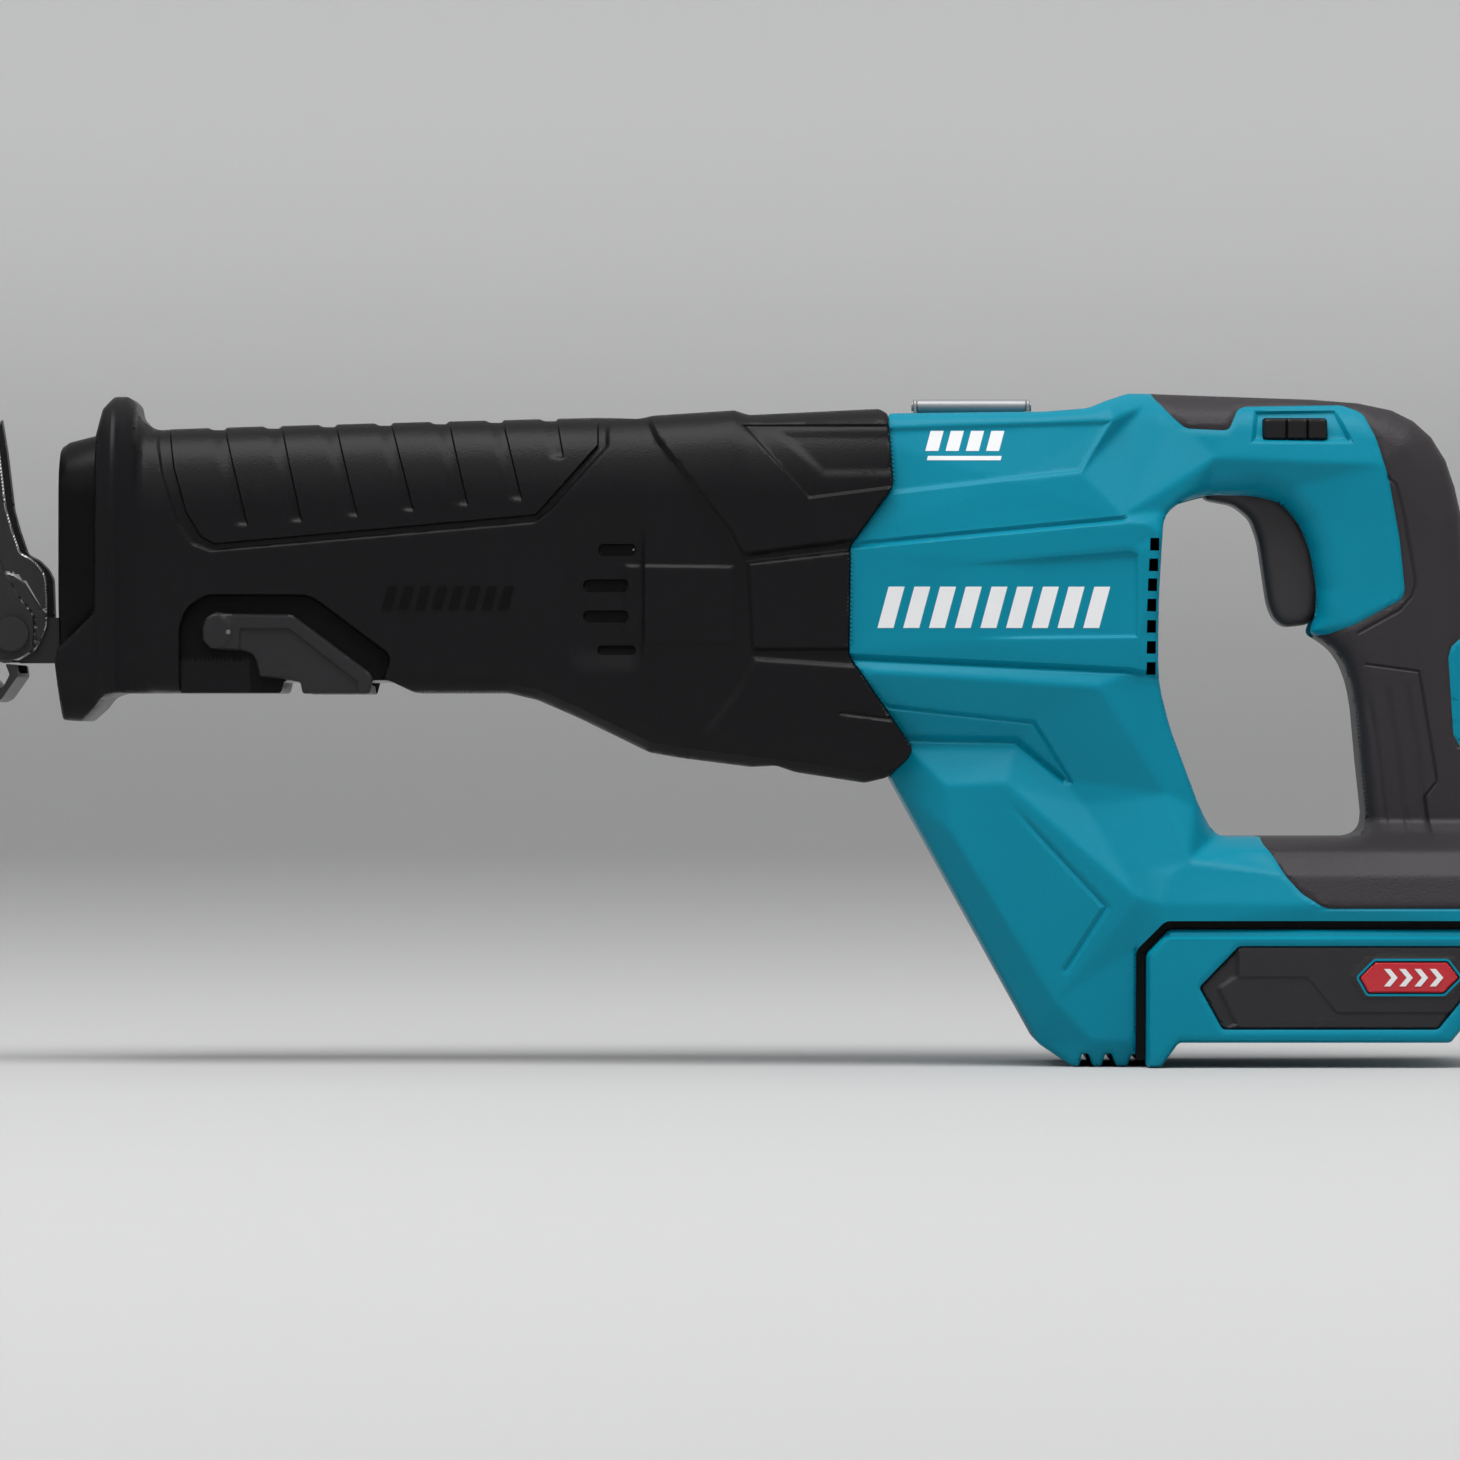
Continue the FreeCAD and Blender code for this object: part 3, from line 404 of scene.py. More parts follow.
def joined(parts):
    """Several vertex and face lists as one."""
    verts, faces = [], []
    for v, f in parts:
        first = len(verts)
        verts += v
        faces += [tuple(i + first for i in face) for face in f]
    return verts, faces


def joined_at_middle(parts):
    """The parts as one, without the faces where the left and right shells meet at y = 0."""
    verts, faces = joined(parts)
    return verts, [f for f in faces if not all(abs(verts[i][1]) < 1e-6 for i in f)]


# ---- materials ----------------------------------------------------------------------------------
def dress(obj, material):
    """Gives an object one material instead of those it has."""
    obj.data.materials.clear()
    obj.data.materials.append(material)


def plastic(name, color, rough, grain=0, grain_scale=2500, coat=0, metallic=0, mottle=0.08,
            spread=0.06, gloss=0.5):
    """A moulded or metal finish with slight tone and gloss variation and a fine surface grain."""
    mat = bpy.data.materials.new(name)
    mat.use_nodes = True
    nodes, links = mat.node_tree.nodes, mat.node_tree.links
    bsdf = nodes["Principled BSDF"]
    where = nodes.new("ShaderNodeTexCoord")
    slow = nodes.new("ShaderNodeTexNoise")
    slow.inputs["Scale"].default_value = 28
    slow.inputs["Detail"].default_value = 5
    links.new(where.outputs["Object"], slow.inputs["Vector"])
    tone = nodes.new("ShaderNodeMix")
    tone.data_type = "RGBA"
    tone.inputs["A"].default_value = (*[c * (1 - mottle) for c in color], 1)
    tone.inputs["B"].default_value = (*[min(1, c * (1 + mottle)) for c in color], 1)
    links.new(slow.outputs["Fac"], tone.inputs["Factor"])
    links.new(tone.outputs["Result"], bsdf.inputs["Base Color"])
    polish = nodes.new("ShaderNodeMapRange")
    polish.inputs["To Min"].default_value = max(0.02, rough - spread)
    polish.inputs["To Max"].default_value = rough + spread
    links.new(slow.outputs["Fac"], polish.inputs["Value"])
    links.new(polish.outputs["Result"], bsdf.inputs["Roughness"])
    bsdf.inputs["Specular IOR Level"].default_value = gloss
    bsdf.inputs["Metallic"].default_value = metallic
    bsdf.inputs["Coat Weight"].default_value = coat
    if grain:
        fine = nodes.new("ShaderNodeTexNoise")
        fine.inputs["Scale"].default_value = grain_scale
        fine.inputs["Detail"].default_value = 2
        links.new(where.outputs["Object"], fine.inputs["Vector"])
        bump = nodes.new("ShaderNodeBump")
        bump.inputs["Strength"].default_value = grain
        bump.inputs["Distance"].default_value = 0.0002
        links.new(fine.outputs["Fac"], bump.inputs["Height"])
        links.new(bump.outputs["Normal"], bsdf.inputs["Normal"])
    return mat


TEAL = plastic("teal_shell", (0.001, 0.218, 0.318), 0.40, 0.22, gloss=0.13)
BOOT_RUBBER = plastic("boot_rubber", (0.0050, 0.0045, 0.0055), 0.36, 0.30, 1800, gloss=0.16)
# Near-black: painted shade on the housing vents, the boot's vent slot floors and the lever pocket's floor,
# and the moulded bars' own darker tone.
SHADE_AND_LETTERING_BLACK = plastic("painted_shade_and_lettering_black", (0.0022, 0.0021, 0.0023), 0.6, 0.3, 1800, gloss=0.1)
GRIP_RUBBER = plastic("grip_rubber", (0.027, 0.0235, 0.0262), 0.48, 0.55, 1500, gloss=0.26)
BLACK = plastic("black_plastic", (0.0085, 0.0075, 0.0085), 0.36, 0.3, gloss=0.25)
COLLAR_BLACK = plastic("collar_plastic", (0.0018, 0.0017, 0.0018), 0.36, 0.3, gloss=0.12)
LEVER_GREY = plastic("lever_plastic", (0.018, 0.0165, 0.018), 0.40, 0.3, gloss=0.25)
TRIGGER_BLACK = plastic("trigger_plastic", (0.032, 0.029, 0.031), 0.40, 0.3, gloss=0.3)
INLAY_BLACK = plastic("inlay_plastic", (0.022, 0.021, 0.023), 0.45, 0.5, 1500, gloss=0.25)
RED = plastic("red_badge", (0.50, 0.012, 0.022), 0.25, 0, coat=0.2)
WHITE = plastic("white_print", (0.80, 0.81, 0.82), 0.35)
DARK_STEEL = plastic("dark_steel", (0.016, 0.016, 0.017), 0.40, 0.2, 900, gloss=0.35)
# Brighter steel for the shoe's edges: partly wear, partly painted highlight.
WORN_AND_HIGHLIGHT_STEEL = plastic("worn_and_highlight_steel", (0.42, 0.42, 0.42), 0.3, 0.2, 900, metallic=1)
SATIN_STEEL = plastic("satin_steel", (0.30, 0.30, 0.31), 0.45, 0.2, 900, metallic=0.6)
STEEL = plastic("bright_steel", (0.50, 0.49, 0.50), 0.30, 0.1, 900, metallic=1)
ALLOY = plastic("cast_alloy", (0.40, 0.41, 0.42), 0.5, 0.6, 700, metallic=1)
COPPER = plastic("copper", (0.72, 0.32, 0.16), 0.35, metallic=1)
LAMINATED = plastic("laminated_steel", (0.20, 0.20, 0.21), 0.4, 0.2, 900, metallic=1)
BRONZE = plastic("bronze", (0.50, 0.36, 0.18), 0.45, 0.3, 900, metallic=1)
GREEN = plastic("board", (0.03, 0.20, 0.08), 0.3)
CLEAR = plastic("lamp", (0.85, 0.88, 0.92), 0.12)
NYLON = plastic("nylon", (0.72, 0.71, 0.67), 0.5)
CAD_FINISH = {
    "teal_shell": TEAL, "black_boot": BOOT_RUBBER, "grip_rubber": GRIP_RUBBER, "black_plastic": BLACK,
    "red_badge": RED, "dark_steel": DARK_STEEL, "bright_steel": STEEL, "cast_alloy": ALLOY,
    "copper": COPPER, "laminated_steel": LAMINATED, "sintered_bronze": BRONZE, "green_board": GREEN,
    "lamp_clear": CLEAR, "white_nylon": NYLON}
SLOTS = {s["node"]: s["material_slot"] for s in frame["record"]["subparts"]}
for node, obj in frame["nodes"].items():
    dress(obj, CAD_FINISH[SLOTS[node]])


# ---- housing and grip ---------------------------------------------------------------------------
CAGE = {"t0": (30, 184, 27), "t1": (90, 184, 27.5), "t2": (107, 187, 24), "t3": (114, 190, 19),
    "t4": (121, 191, 16.4), "t5": (145, 190, 15.5), "t6": (180, 188, 15), "t7": (225, 188, 15),
    "b0": (30, 176.6, 32.5), "b2": (109, 179.2, 29.8), "b3": (117.6, 183.2, 21), "n5": (103.6, 169.5, 31.9),
    "c0": (30, 156, 35.6), "c1": (48.5, 158.3, 35.6), "c2": (81, 162, 35.8), "c3": (99.8, 164.1, 35.2),
    "d1": (30, 144, 37.3), "d2": (111.3, 152.2, 36.8), "e2": (137.9, 168.8, 20.8), "e3": (184.1, 167.1, 19),
    "e4": (126, 180, 19.4), "u1": (143, 183.5, 16.5), "u2": (179, 182.5, 15.5), "u3": (196, 178, 16),
    "f1": (123.5, 153.5, 29.5), "f2": (136, 158.6, 18.2), "f3": (150, 158.5, 17), "f4": (161.5, 150.5, 17),
    "f5": (166, 132, 17), "f6": (164, 120, 16.5), "f7": (140, 150, 17), "f8": (150, 130, 17),
    "q1": (190.5, 131, 18.2), "q2": (176.5, 122.5, 17.8), "q3": (186, 150, 18.4), "r1": (225, 165, 17.5),
    "r2": (225, 125, 17.5), "r3": (176, 100, 17.5), "r4": (180, 68, 17.5), "r5": (225, 68, 17.5),
    "r6": (200, 150, 18), "r7": (205, 100, 17.6), "v0": (137.5, 63.8, 25), "v1": (150, 63.8, 23),
    "v2": (180, 64.6, 22), "v3": (225, 64.6, 22), "w0": (141, 60, 33), "w1": (152, 60, 33),
    "w2": (185, 60, 33.5), "w3": (225, 60, 33.5), "x0": (124.1, 53.1, 39.2), "x1": (157, 53.1, 39),
    "x2": (225, 53.1, 39), "y0": (121.3, 45.2, 41.4), "y1": (165, 45.2, 41.4), "y2": (225, 45.2, 41.4),
    "z0": (122.5, 38, 41.2), "z1": (225, 38, 41.2), "g1": (30, 143, 38.2), "g2": (112.7, 150.6, 37.8),
    "g3": (69.3, 139.6, 38), "g4": (113.4, 143.8, 37.8), "g5": (115.8, 142.4, 37.4),
    "g6": (117.5, 150.5, 36.6), "g7": (119, 146, 35.8), "g8": (69, 117.4, 37.6), "g9": (115.6, 118.4, 37.3),
    "ga": (112.7, 110.3, 36.6), "gb": (30, 114.2, 37.2), "gc": (119, 109, 35.8), "gd": (124, 146, 34.8),
    "ge": (124, 108, 33.6), "gf": (69.3, 138.6, 37.8), "gg": (115, 141.6, 37), "h0": (30, 112.8, 36.4),
    "h9": (112.7, 108.8, 35.8), "h1": (42.7, 109.3, 38.2), "h3": (104.3, 105.1, 37.6),
    "i0": (34, 101.5, 36), "i1": (47.6, 99.5, 35.2), "i2": (86.8, 95.3, 34.4), "i3": (96.6, 79.2, 31),
    "j0": (40, 91.3, 32), "j2": (81.9, 90.4, 32), "j3": (95.2, 79.6, 30.4), "k0": (52, 88.3, 30.6),
    "k2": (81.9, 88.6, 31.2), "k3": (62.3, 77.8, 35.2), "k4": (79, 78.5, 35.8), "k5": (100.8, 72.7, 31.4),
    "k6": (118, 54.5, 37.6), "k7": (115.7, 46.6, 39.2), "m1": (123.2, 75.7, 33.2), "m2": (122.5, 106, 33),
    "m3": (131.5, 72, 31), "n1": (129.5, 57, 38.2), "o1": (44, 80.5, 26), "o2": (87, 5.5, 26),
    "p3": (63.5, 65.2, 35), "p4": (81.2, 36.3, 35), "p5": (92.4, 18.2, 35.2), "p6": (102.7, 7.4, 34.8),
    "p7": (116, 7.4, 34.8), "p8": (97.5, -2, 29.5), "p9": (117, -2, 30), "s1": (114.8, 32.6, 36.6)}
CREASES = [crease.split() for crease in (
    "b0 b2 b3, b2 c3, c3 n5 b3, c0 c1 c2 c3 d2, b3 c3, d1 d2, d2 e2 e3, g1 g2 g6, g3 g4 g5, gf gg, g8 g9, "
    "g5 g9 ga, gb ga, h0 h9, h1 h3, i0 i1 i2 i3, j0 j2 j3, k0 k2 k5 k6, k3 k4 k7, k2 k4, k0 k3 p3 p4 p5 "
    "p6 p7, h3 m1, i3 m1 n1 x0, h3 i2, k7 p5, x0 x1 x2, k7 y0 y1 y2, w0 w1 w2 w3, v0 v1 v2 v3, r4 r5, x0 "
    "y0, k7 s1, o1 o2"
).split(", ")]
CAGE_FIELD = Facets(CAGE, CREASES)
L2 = [(30, 143.5), (111.5, 151.4)]
L3 = [(30, 113.5), (112.7, 109.5), (121.5, 107.6)]
L4 = [(47, 99.6), (86.8, 95.3), (96.8, 79)]
L5 = [(51, 90.9), (81.9, 90.3), (95, 79.4)]
TOWER_LINE = [(79, 74), (106.6, 44.3), (95.5, 27)]
UPPER_PANEL = [(30, 176.6), (109, 179.2), (99.8, 164.1), (81, 162), (30, 156)]
MIDDLE_PANEL = [(60, 138.6), (113.4, 142.8), (115.6, 141.8), (115.6, 118.6), (62, 118)]
BUTTON_POCKET = [(147.5, 173), (148.6, 182.3), (171.6, 182.6), (176.5, 173)]
BUTTON_HOLE = [(150.9, 173.9), (150.9, 180.1), (169.1, 180.1), (169.1, 173.9)]
GRIP_OUTER_LINE = [(185.5, 163.5), (188, 161.5), (190.3, 153), (193.5, 134), (192.5, 130.5), (189, 126.5),
    (177.5, 120.2)]
GRIP_PANEL = [(180, 111.5), (194.5, 109.5), (199.5, 79), (196, 74.5), (197.5, 63.5)]
GRIP_RIBS = [[(180, 104), (182.5, 90), (185.3, 66)], [(185.5, 107), (188.5, 88), (191.5, 65)],
    [(191, 107.5), (194, 88), (197, 65)]]
TRIGGER_SLOT = [(131.5, 169.5), (176, 169.5), (176, 120.9), (163, 119), (140, 110), (120, 150)]
HOUSING_WALL = 3
VENT_DEPTH = 6
TRIGGER_SLOT_HALF = 9.7
WELL_RADIUS = 3.9
WELL_FLOOR = 8.6
SCREWS = [(57, 168), (112, 158.5), (126.5, 170.5), (192, 170), (203, 100), (190, 52), (70.5, 67),
    (96, 12.5)]
VENT_TOPS = (146.3, 140.6, 135.1, 129.5, 123.6, 117.8, 112)
ACCENTS = [[(202.6, 113.5), (203.5, 116.5), (206.3, 119), (209.6, 113.5), (207.2, 92), (206, 88.5),
    (204, 92)], [(207.4, 76.5), (208.2, 78), (212, 77), (212.6, 70.5), (208.2, 72)]]
OUTER = soften(HOUSING, 1.4)
HOLE = soften(OPENING, 2.5)
BORDER = soften(RUBBER, 1.6)


def housing_front(p):
    """Half-width of the housing and grip, without the small gap between teal and rubber."""
    h = CAGE_FIELD(p)
    h += pad(p, UPPER_PANEL, -0.9, 1.6) + pad(p, MIDDLE_PANEL, -0.8, 1) * ease((p[:, 0] - 66) / 26)
    h += (groove(p, L2, 1.1, 1.2) + groove(p, L3, 1.1, 1.2) + groove(p, L4, 0.8, 0.9)
          + groove(p, L5, 1.2, 1.3))
    h += groove(p, TOWER_LINE, 0.8, 1.3, 14)
    h += pad(p, BUTTON_POCKET, -1.6, 1.4)
    h += groove(p, GRIP_OUTER_LINE, 0.5, 0.7) + groove(p, GRIP_PANEL, 0.5, 0.6)
    for rib in GRIP_RIBS:
        h += groove(p, rib, 0.5, 1.2, 4)
    for loop in ACCENTS:
        h += groove(p, shut(loop), 0.5, 0.5)
    wide = np.clip((p[:, 0] - 108) / 14, 0, 1)
    top = distance(p, TOP_LINE + REAR_LINE[:4])
    h -= rounded(top, 3 + 6 * wide, 3 + 6.5 * wide)
    h -= rounded(distance(p, FOOT_LINE[1:]), 1.5, 1.5)
    grip = np.clip((p[:, 0] - 128) / 22, 0, 1) * np.clip((p[:, 1] - 60) / 6, 0, 1)
    h -= rounded(distance(p, OPENING, True), 2 + 4.5 * grip, 2 + 5 * grip)
    h -= rounded(distance(p, SEAM_LINE + [(46.5, 181)]), 0.4, 0.4)
    return h


def make_housing():
    """Teal halves and grip rubber on both sides, with vents and screw wells."""
    vents = []
    for top in VENT_TOPS:
        x = np.interp(top - 1.7, [104.5, 110, 130, 146.5, 152.5], [121.8, 121.2, 121.4, 122.3, 123])
        vents.append([(x - 3.3, top), (x - 0.8, top), (x - 0.85, top - 3.5), (x - 3.45, top - 3.5)])
    wells = [circle(x, z, WELL_RADIUS) for x, z in SCREWS]
    rings = np.concatenate([ring_points(OUTER, (0.25, 0.8, 1.6, 2.7, 4.2, 6.2, 8.6), 1.2),
                            ring_points(HOLE, (-0.25, -0.8, -1.6, -2.7, -4.2, -6.2), 1.2)])
    lines = []
    for line, width in ((L2, 1.2), (L3, 1.2), (L4, 0.9), (L5, 1.3), (TOWER_LINE, 1.3),
                        (GRIP_OUTER_LINE, 0.7), (GRIP_PANEL, 0.6)):
        lines += banks(line, width)
    for rib in GRIP_RIBS:
        lines += banks(rib, 1.2)
    for loop, width in ((UPPER_PANEL, 1.6), (MIDDLE_PANEL, 1), (BUTTON_POCKET, 1.4)):
        lines += banks(loop, width, True, False)
    for crease in CREASES:
        line = [CAGE[n][:2] for n in crease]
        lines += [line, parallel(line, 0.8), parallel(line, -0.8)]
    lines += [shut(parallel(vent, 0.2, True)) for vent in vents]
    loops = [OUTER, HOLE, BORDER, soften(BUTTON_HOLE, 1.2)] + vents + ACCENTS + wells
    points, tris = triangulate(loops, lines, rings, 1.2)
    centres = points[tris].mean(1)
    keep = inside(centres, OUTER) & ~inside(centres, HOLE) & ~inside(centres, BUTTON_HOLE)
    rubber = inside(centres, BORDER)
    accent = np.zeros(len(centres), bool)
    for loop in ACCENTS:
        accent |= inside(centres, loop)
    front = housing_front(points)
    front -= 0.55 * ease(1 - distance(points, BORDER, True) / 0.7)
    for vent in vents:
        front -= VENT_DEPTH * ease(depth_in(points, vent) / 0.2)
    rim = np.minimum(distance(points, OUTER, True), distance(points, HOLE, True))
    back = np.where(rim > 3.2, front - HOUSING_WALL, 0)
    back = np.where(distance(points, SEAM_LINE + [(46.5, 178)]) < 4.2, front - HOUSING_WALL, back)
    slot = inside(points, TRIGGER_SLOT) & (rim < 6)
    back = np.where(slot, TRIGGER_SLOT_HALF, back)
    well = np.zeros(len(centres), bool)
    deep = back.copy()
    for loop in wells:
        well |= inside(centres, loop)
        deep = np.where(distance(points, loop, True) < 0.05, np.minimum(deep, WELL_FLOOR), deep)

    # Faces inside the vents wear painted shade, the near-black second material.
    def in_vent_shade(middles):
        p = middles[:, [0, 2]]
        found = np.zeros(len(p), bool)
        for vent in vents:
            found |= depth_in(p, vent) > 0.05
        return found

    for side, word, kept, inner in ((-1, "left", keep, back), (1, "right", keep & ~well, deep)):
        teal = tris[kept & (~rubber | accent)]
        soft = tris[kept & rubber & ~accent]
        shell = shell_mesh(points, teal, front, inner, side)
        piece("housing_shell_" + word, shell, TEAL, "body", ["housing_" + word],
              SHADE_AND_LETTERING_BLACK, in_vent_shade)
        grip = shell_mesh(points, soft, front, inner, side)
        piece("grip_cover_" + word, grip, GRIP_RUBBER, "body", ["grip_rubber_" + word])


# ---- front boot ---------------------------------------------------------------------------------
RIB_PANEL = [(-153, 196), (-153, 176.5), (-151.5, 166), (-148, 153.5), (-143.8, 146.6), (-140, 144.5),
    (-51, 152.5), (-48.5, 155), (-33.5, 172), (-33.5, 196)]
RIB_MARGIN = [(-156.4, 196), (-156.4, 172), (-155, 164), (-150.8, 150.5), (-146.2, 144.2), (-141, 142.3),
    (-51, 150.2), (-46.5, 153.5), (-30.5, 171.5), (-30.5, 196)]
RIB_EDGES = [((-137.8, 177.5), (-131, 150)), ((-122, 178), (-116, 151)), ((-107, 178.5), (-100.5, 152.5)),
    ((-91.5, 178.5), (-85, 154)), ((-75.5, 179), (-70, 155.5)), ((-60.5, 179), (-55, 157)), ((-45.5, 179.5),
    (-43.5, 168.5))]
PAD_UPPER = [(-20.7, 196), (-20.7, 179.3), (-18.2, 173.7), (-16.8, 171.6), (1.4, 149.2), (3.1, 146.4),
    (5.6, 141.2), (9.1, 141.2), (60, 148), (60, 196)]
PAD_RECESS = [(5.6, 177.9), (24.5, 156.9), (60, 161.5), (60, 177.9)]
PAD_FLOOR = [(13, 176.6), (28.2, 162.6), (60, 162.8), (60, 176.6)]
PAD_BOX = [(7, 139.9), (35.5, 143.2), (60, 145), (60, 114.9), (8.4, 114.9)]
PAD_SIDE = [(-27, 139.3), (4.6, 138.9), (4.6, 116.6), (-27, 116.8)]
PAD_LOWER = [(9.1, 113.8), (60, 110.2), (60, 60), (-11, 60), (-11, 85), (4, 104)]
SLOTS_BOOT = [(-33.6, -23.1, 143, 1.7), (-37.8, -25.2, 133.1, 1.8), (-37.8, -25.2, 124.6, 1.7),
    (-33.8, -23.2, 115.3, 1.3)]
LIP_LINE = [(47.2, 178.5), (47.9, 160.5), (35.9, 144), (35.5, 114), (37.9, 110.4), (53.3, 88)]
BOOT_WALL = 2.8
POCKET_FLOOR = 27.12
POCKET_BACK = 26.5
MOUTH_HALF = 26.6
MOUTH_LOW, MOUTH_HIGH = 108.6, 172.4
COLLAR_SEAT_HALF = 29.4
STRIP_HALF = 21
TOP_STRIP = [(43.6, 176.4), (52.4, 176.4), (52.4, 178.2), (43.6, 178.2)]
BOOT_GROOVES = [[(33.5, 98), (47.6, 96.2)]]
GUARD_STATIONS = (-172, -171, -170, -169.2, -168.6, -168.1, -167.6, -166.8, -166, -165, -164, -163, -162,
    -161, -160, -158.5, -157, -155, -153)
CREST_X = [-184, -173, -171.5, -170, -168.6, -167.6, -166, -164, -162, -160, -157, -153]
CREST_H = [34, 34, 34.9, 36, 36.8, 36.6, 35.1, 33.6, 32.3, 31.4, 30.6, 30]
GUARD_X = [-164.5, -162.4, -161.8, -159.5, -156, -153]
GUARD_Z = [186, 184, 180.6, 178.2, 176.9, 176.9]
TOP_X = [-173, -157, -153, -89.5, -33.5, -18, 4, 8, 44, 60]
TOP_Z = [177, 177, 176.9, 179, 180, 180.5, 181.9, 180.6, 182.3, 180]
LOW_X = [-173, -59, -50.5, -39, -19.5, -11, 8.5, 21, 40, 60]
LOW_Z = [103.5, 103.5, 101.5, 96.5, 87, 85.5, 83, 81.5, 78.5, 80]
WIDE_X = [-173, -59, -39, -19.5, 4, 36, 60]
WIDE_H = [30, 30.2, 33, 36.6, 37.6, 38, 37.4]


def capsule(points, x0, x1, z, r):
    """Distance inside a rounded slot."""
    x = np.clip(points[:, 0], x0 + r, x1 - r)
    return r - np.hypot(points[:, 0] - x, points[:, 1] - z)


def boot_front(p):
    """Half-width of the rubber boot."""
    x, z = p[:, 0], p[:, 1]
    top, low = np.interp(x, TOP_X, TOP_Z), np.interp(x, LOW_X, LOW_Z)
    h = np.interp(x, WIDE_X, WIDE_H)
    rear = ease((x + 62) / 14)
    chamfer = 3.6 * np.clip(1 - (z - low) / 3, 0, 1) + rounded(z - low, 3, 9)
    h = h - rounded(top - z, 14, 24) - rounded(z - low, 7, 8) * (1 - rear) - chamfer * rear
    crest = np.interp(x, CREST_X, CREST_H)
    away = np.clip((x + 164.5) / 11.5, 0, 1)
    high = np.interp(x, GUARD_X, GUARD_Z) - z
    guard = crest - rounded(high, 21 - 7 * away, 34 - 10 * away)
    guard -= rounded(z - 95.5 - 8 * ease((x + 168) / 12), 9, 14)
    h = np.where(x < -153, np.where(x > -171, np.maximum(h, guard), guard), h)
    h += pad(p, RIB_MARGIN, -0.9, 1.2) + pad(p, RIB_PANEL, 1.4, 0.5)
    ribs = inside(p, RIB_PANEL)
    for (x0, z0), (x1, z1) in RIB_EDGES:
        across = x - (x0 + (x1 - x0) * (z0 - z) / (z0 - z1))
        reach = ease((z - (z1 - 0.5)) / 1.4)
        dip = np.where(across < 0, ease((across + 4.2) / 3.6), ease(1 - across / 0.5))
        h -= 0.9 * dip * reach * ribs
    h += pad(p, PAD_UPPER, 1.8, 1.8) + pad(p, PAD_RECESS, -0.9, 0.8) + pad(p, PAD_FLOOR, -0.7, 3)
    h += pad(p, PAD_BOX, 1.5, 1.5) + pad(p, PAD_LOWER, 1.1, 1.8) + pad(p, PAD_SIDE, 0.7, 1.3)
    for line in BOOT_GROOVES:
        h += groove(p, line, 0.6, 0.9)
    across = np.maximum(np.abs(x + 31) - 5, 0) / 9.5
    along = np.maximum(np.abs(z - 131.5) - 12, 0) / 12
    hollow = 1.3 + 0.5 * np.clip((x + 42) / 20, 0, 1)
    h -= hollow * ease(1.25 - 1.25 * np.hypot(across, along)) * ease((-20.6 - x) / 1.2)
    for x0, x1, z0, r in SLOTS_BOOT:
        h -= 0.95 * ease(capsule(p, x0, x1, z0, r) / 0.3)
    rim = distance(p, BOOT, True)
    return h - rounded(rim, 1.2, 1.2) * (x < -153) - rounded(rim, 0.5, 0.5) * (x > -153)


def in_painted_shade(middles):
    """Which face middles lie on the floors of the vent slots or of the lever's pocket, where shade is
    painted.
    """
    p = middles[:, [0, 2]]
    side = np.abs(middles[:, 1])
    found = inside(p, LEVER_POCKET) & (side > 26.8) & (side < 28.9)
    found &= (p[:, 0] > -130) | (p[:, 1] > 112.6)
    for x0, x1, z, r in SLOTS_BOOT:
        found |= capsule(p, x0, x1, z, r) > 0.05
    return found


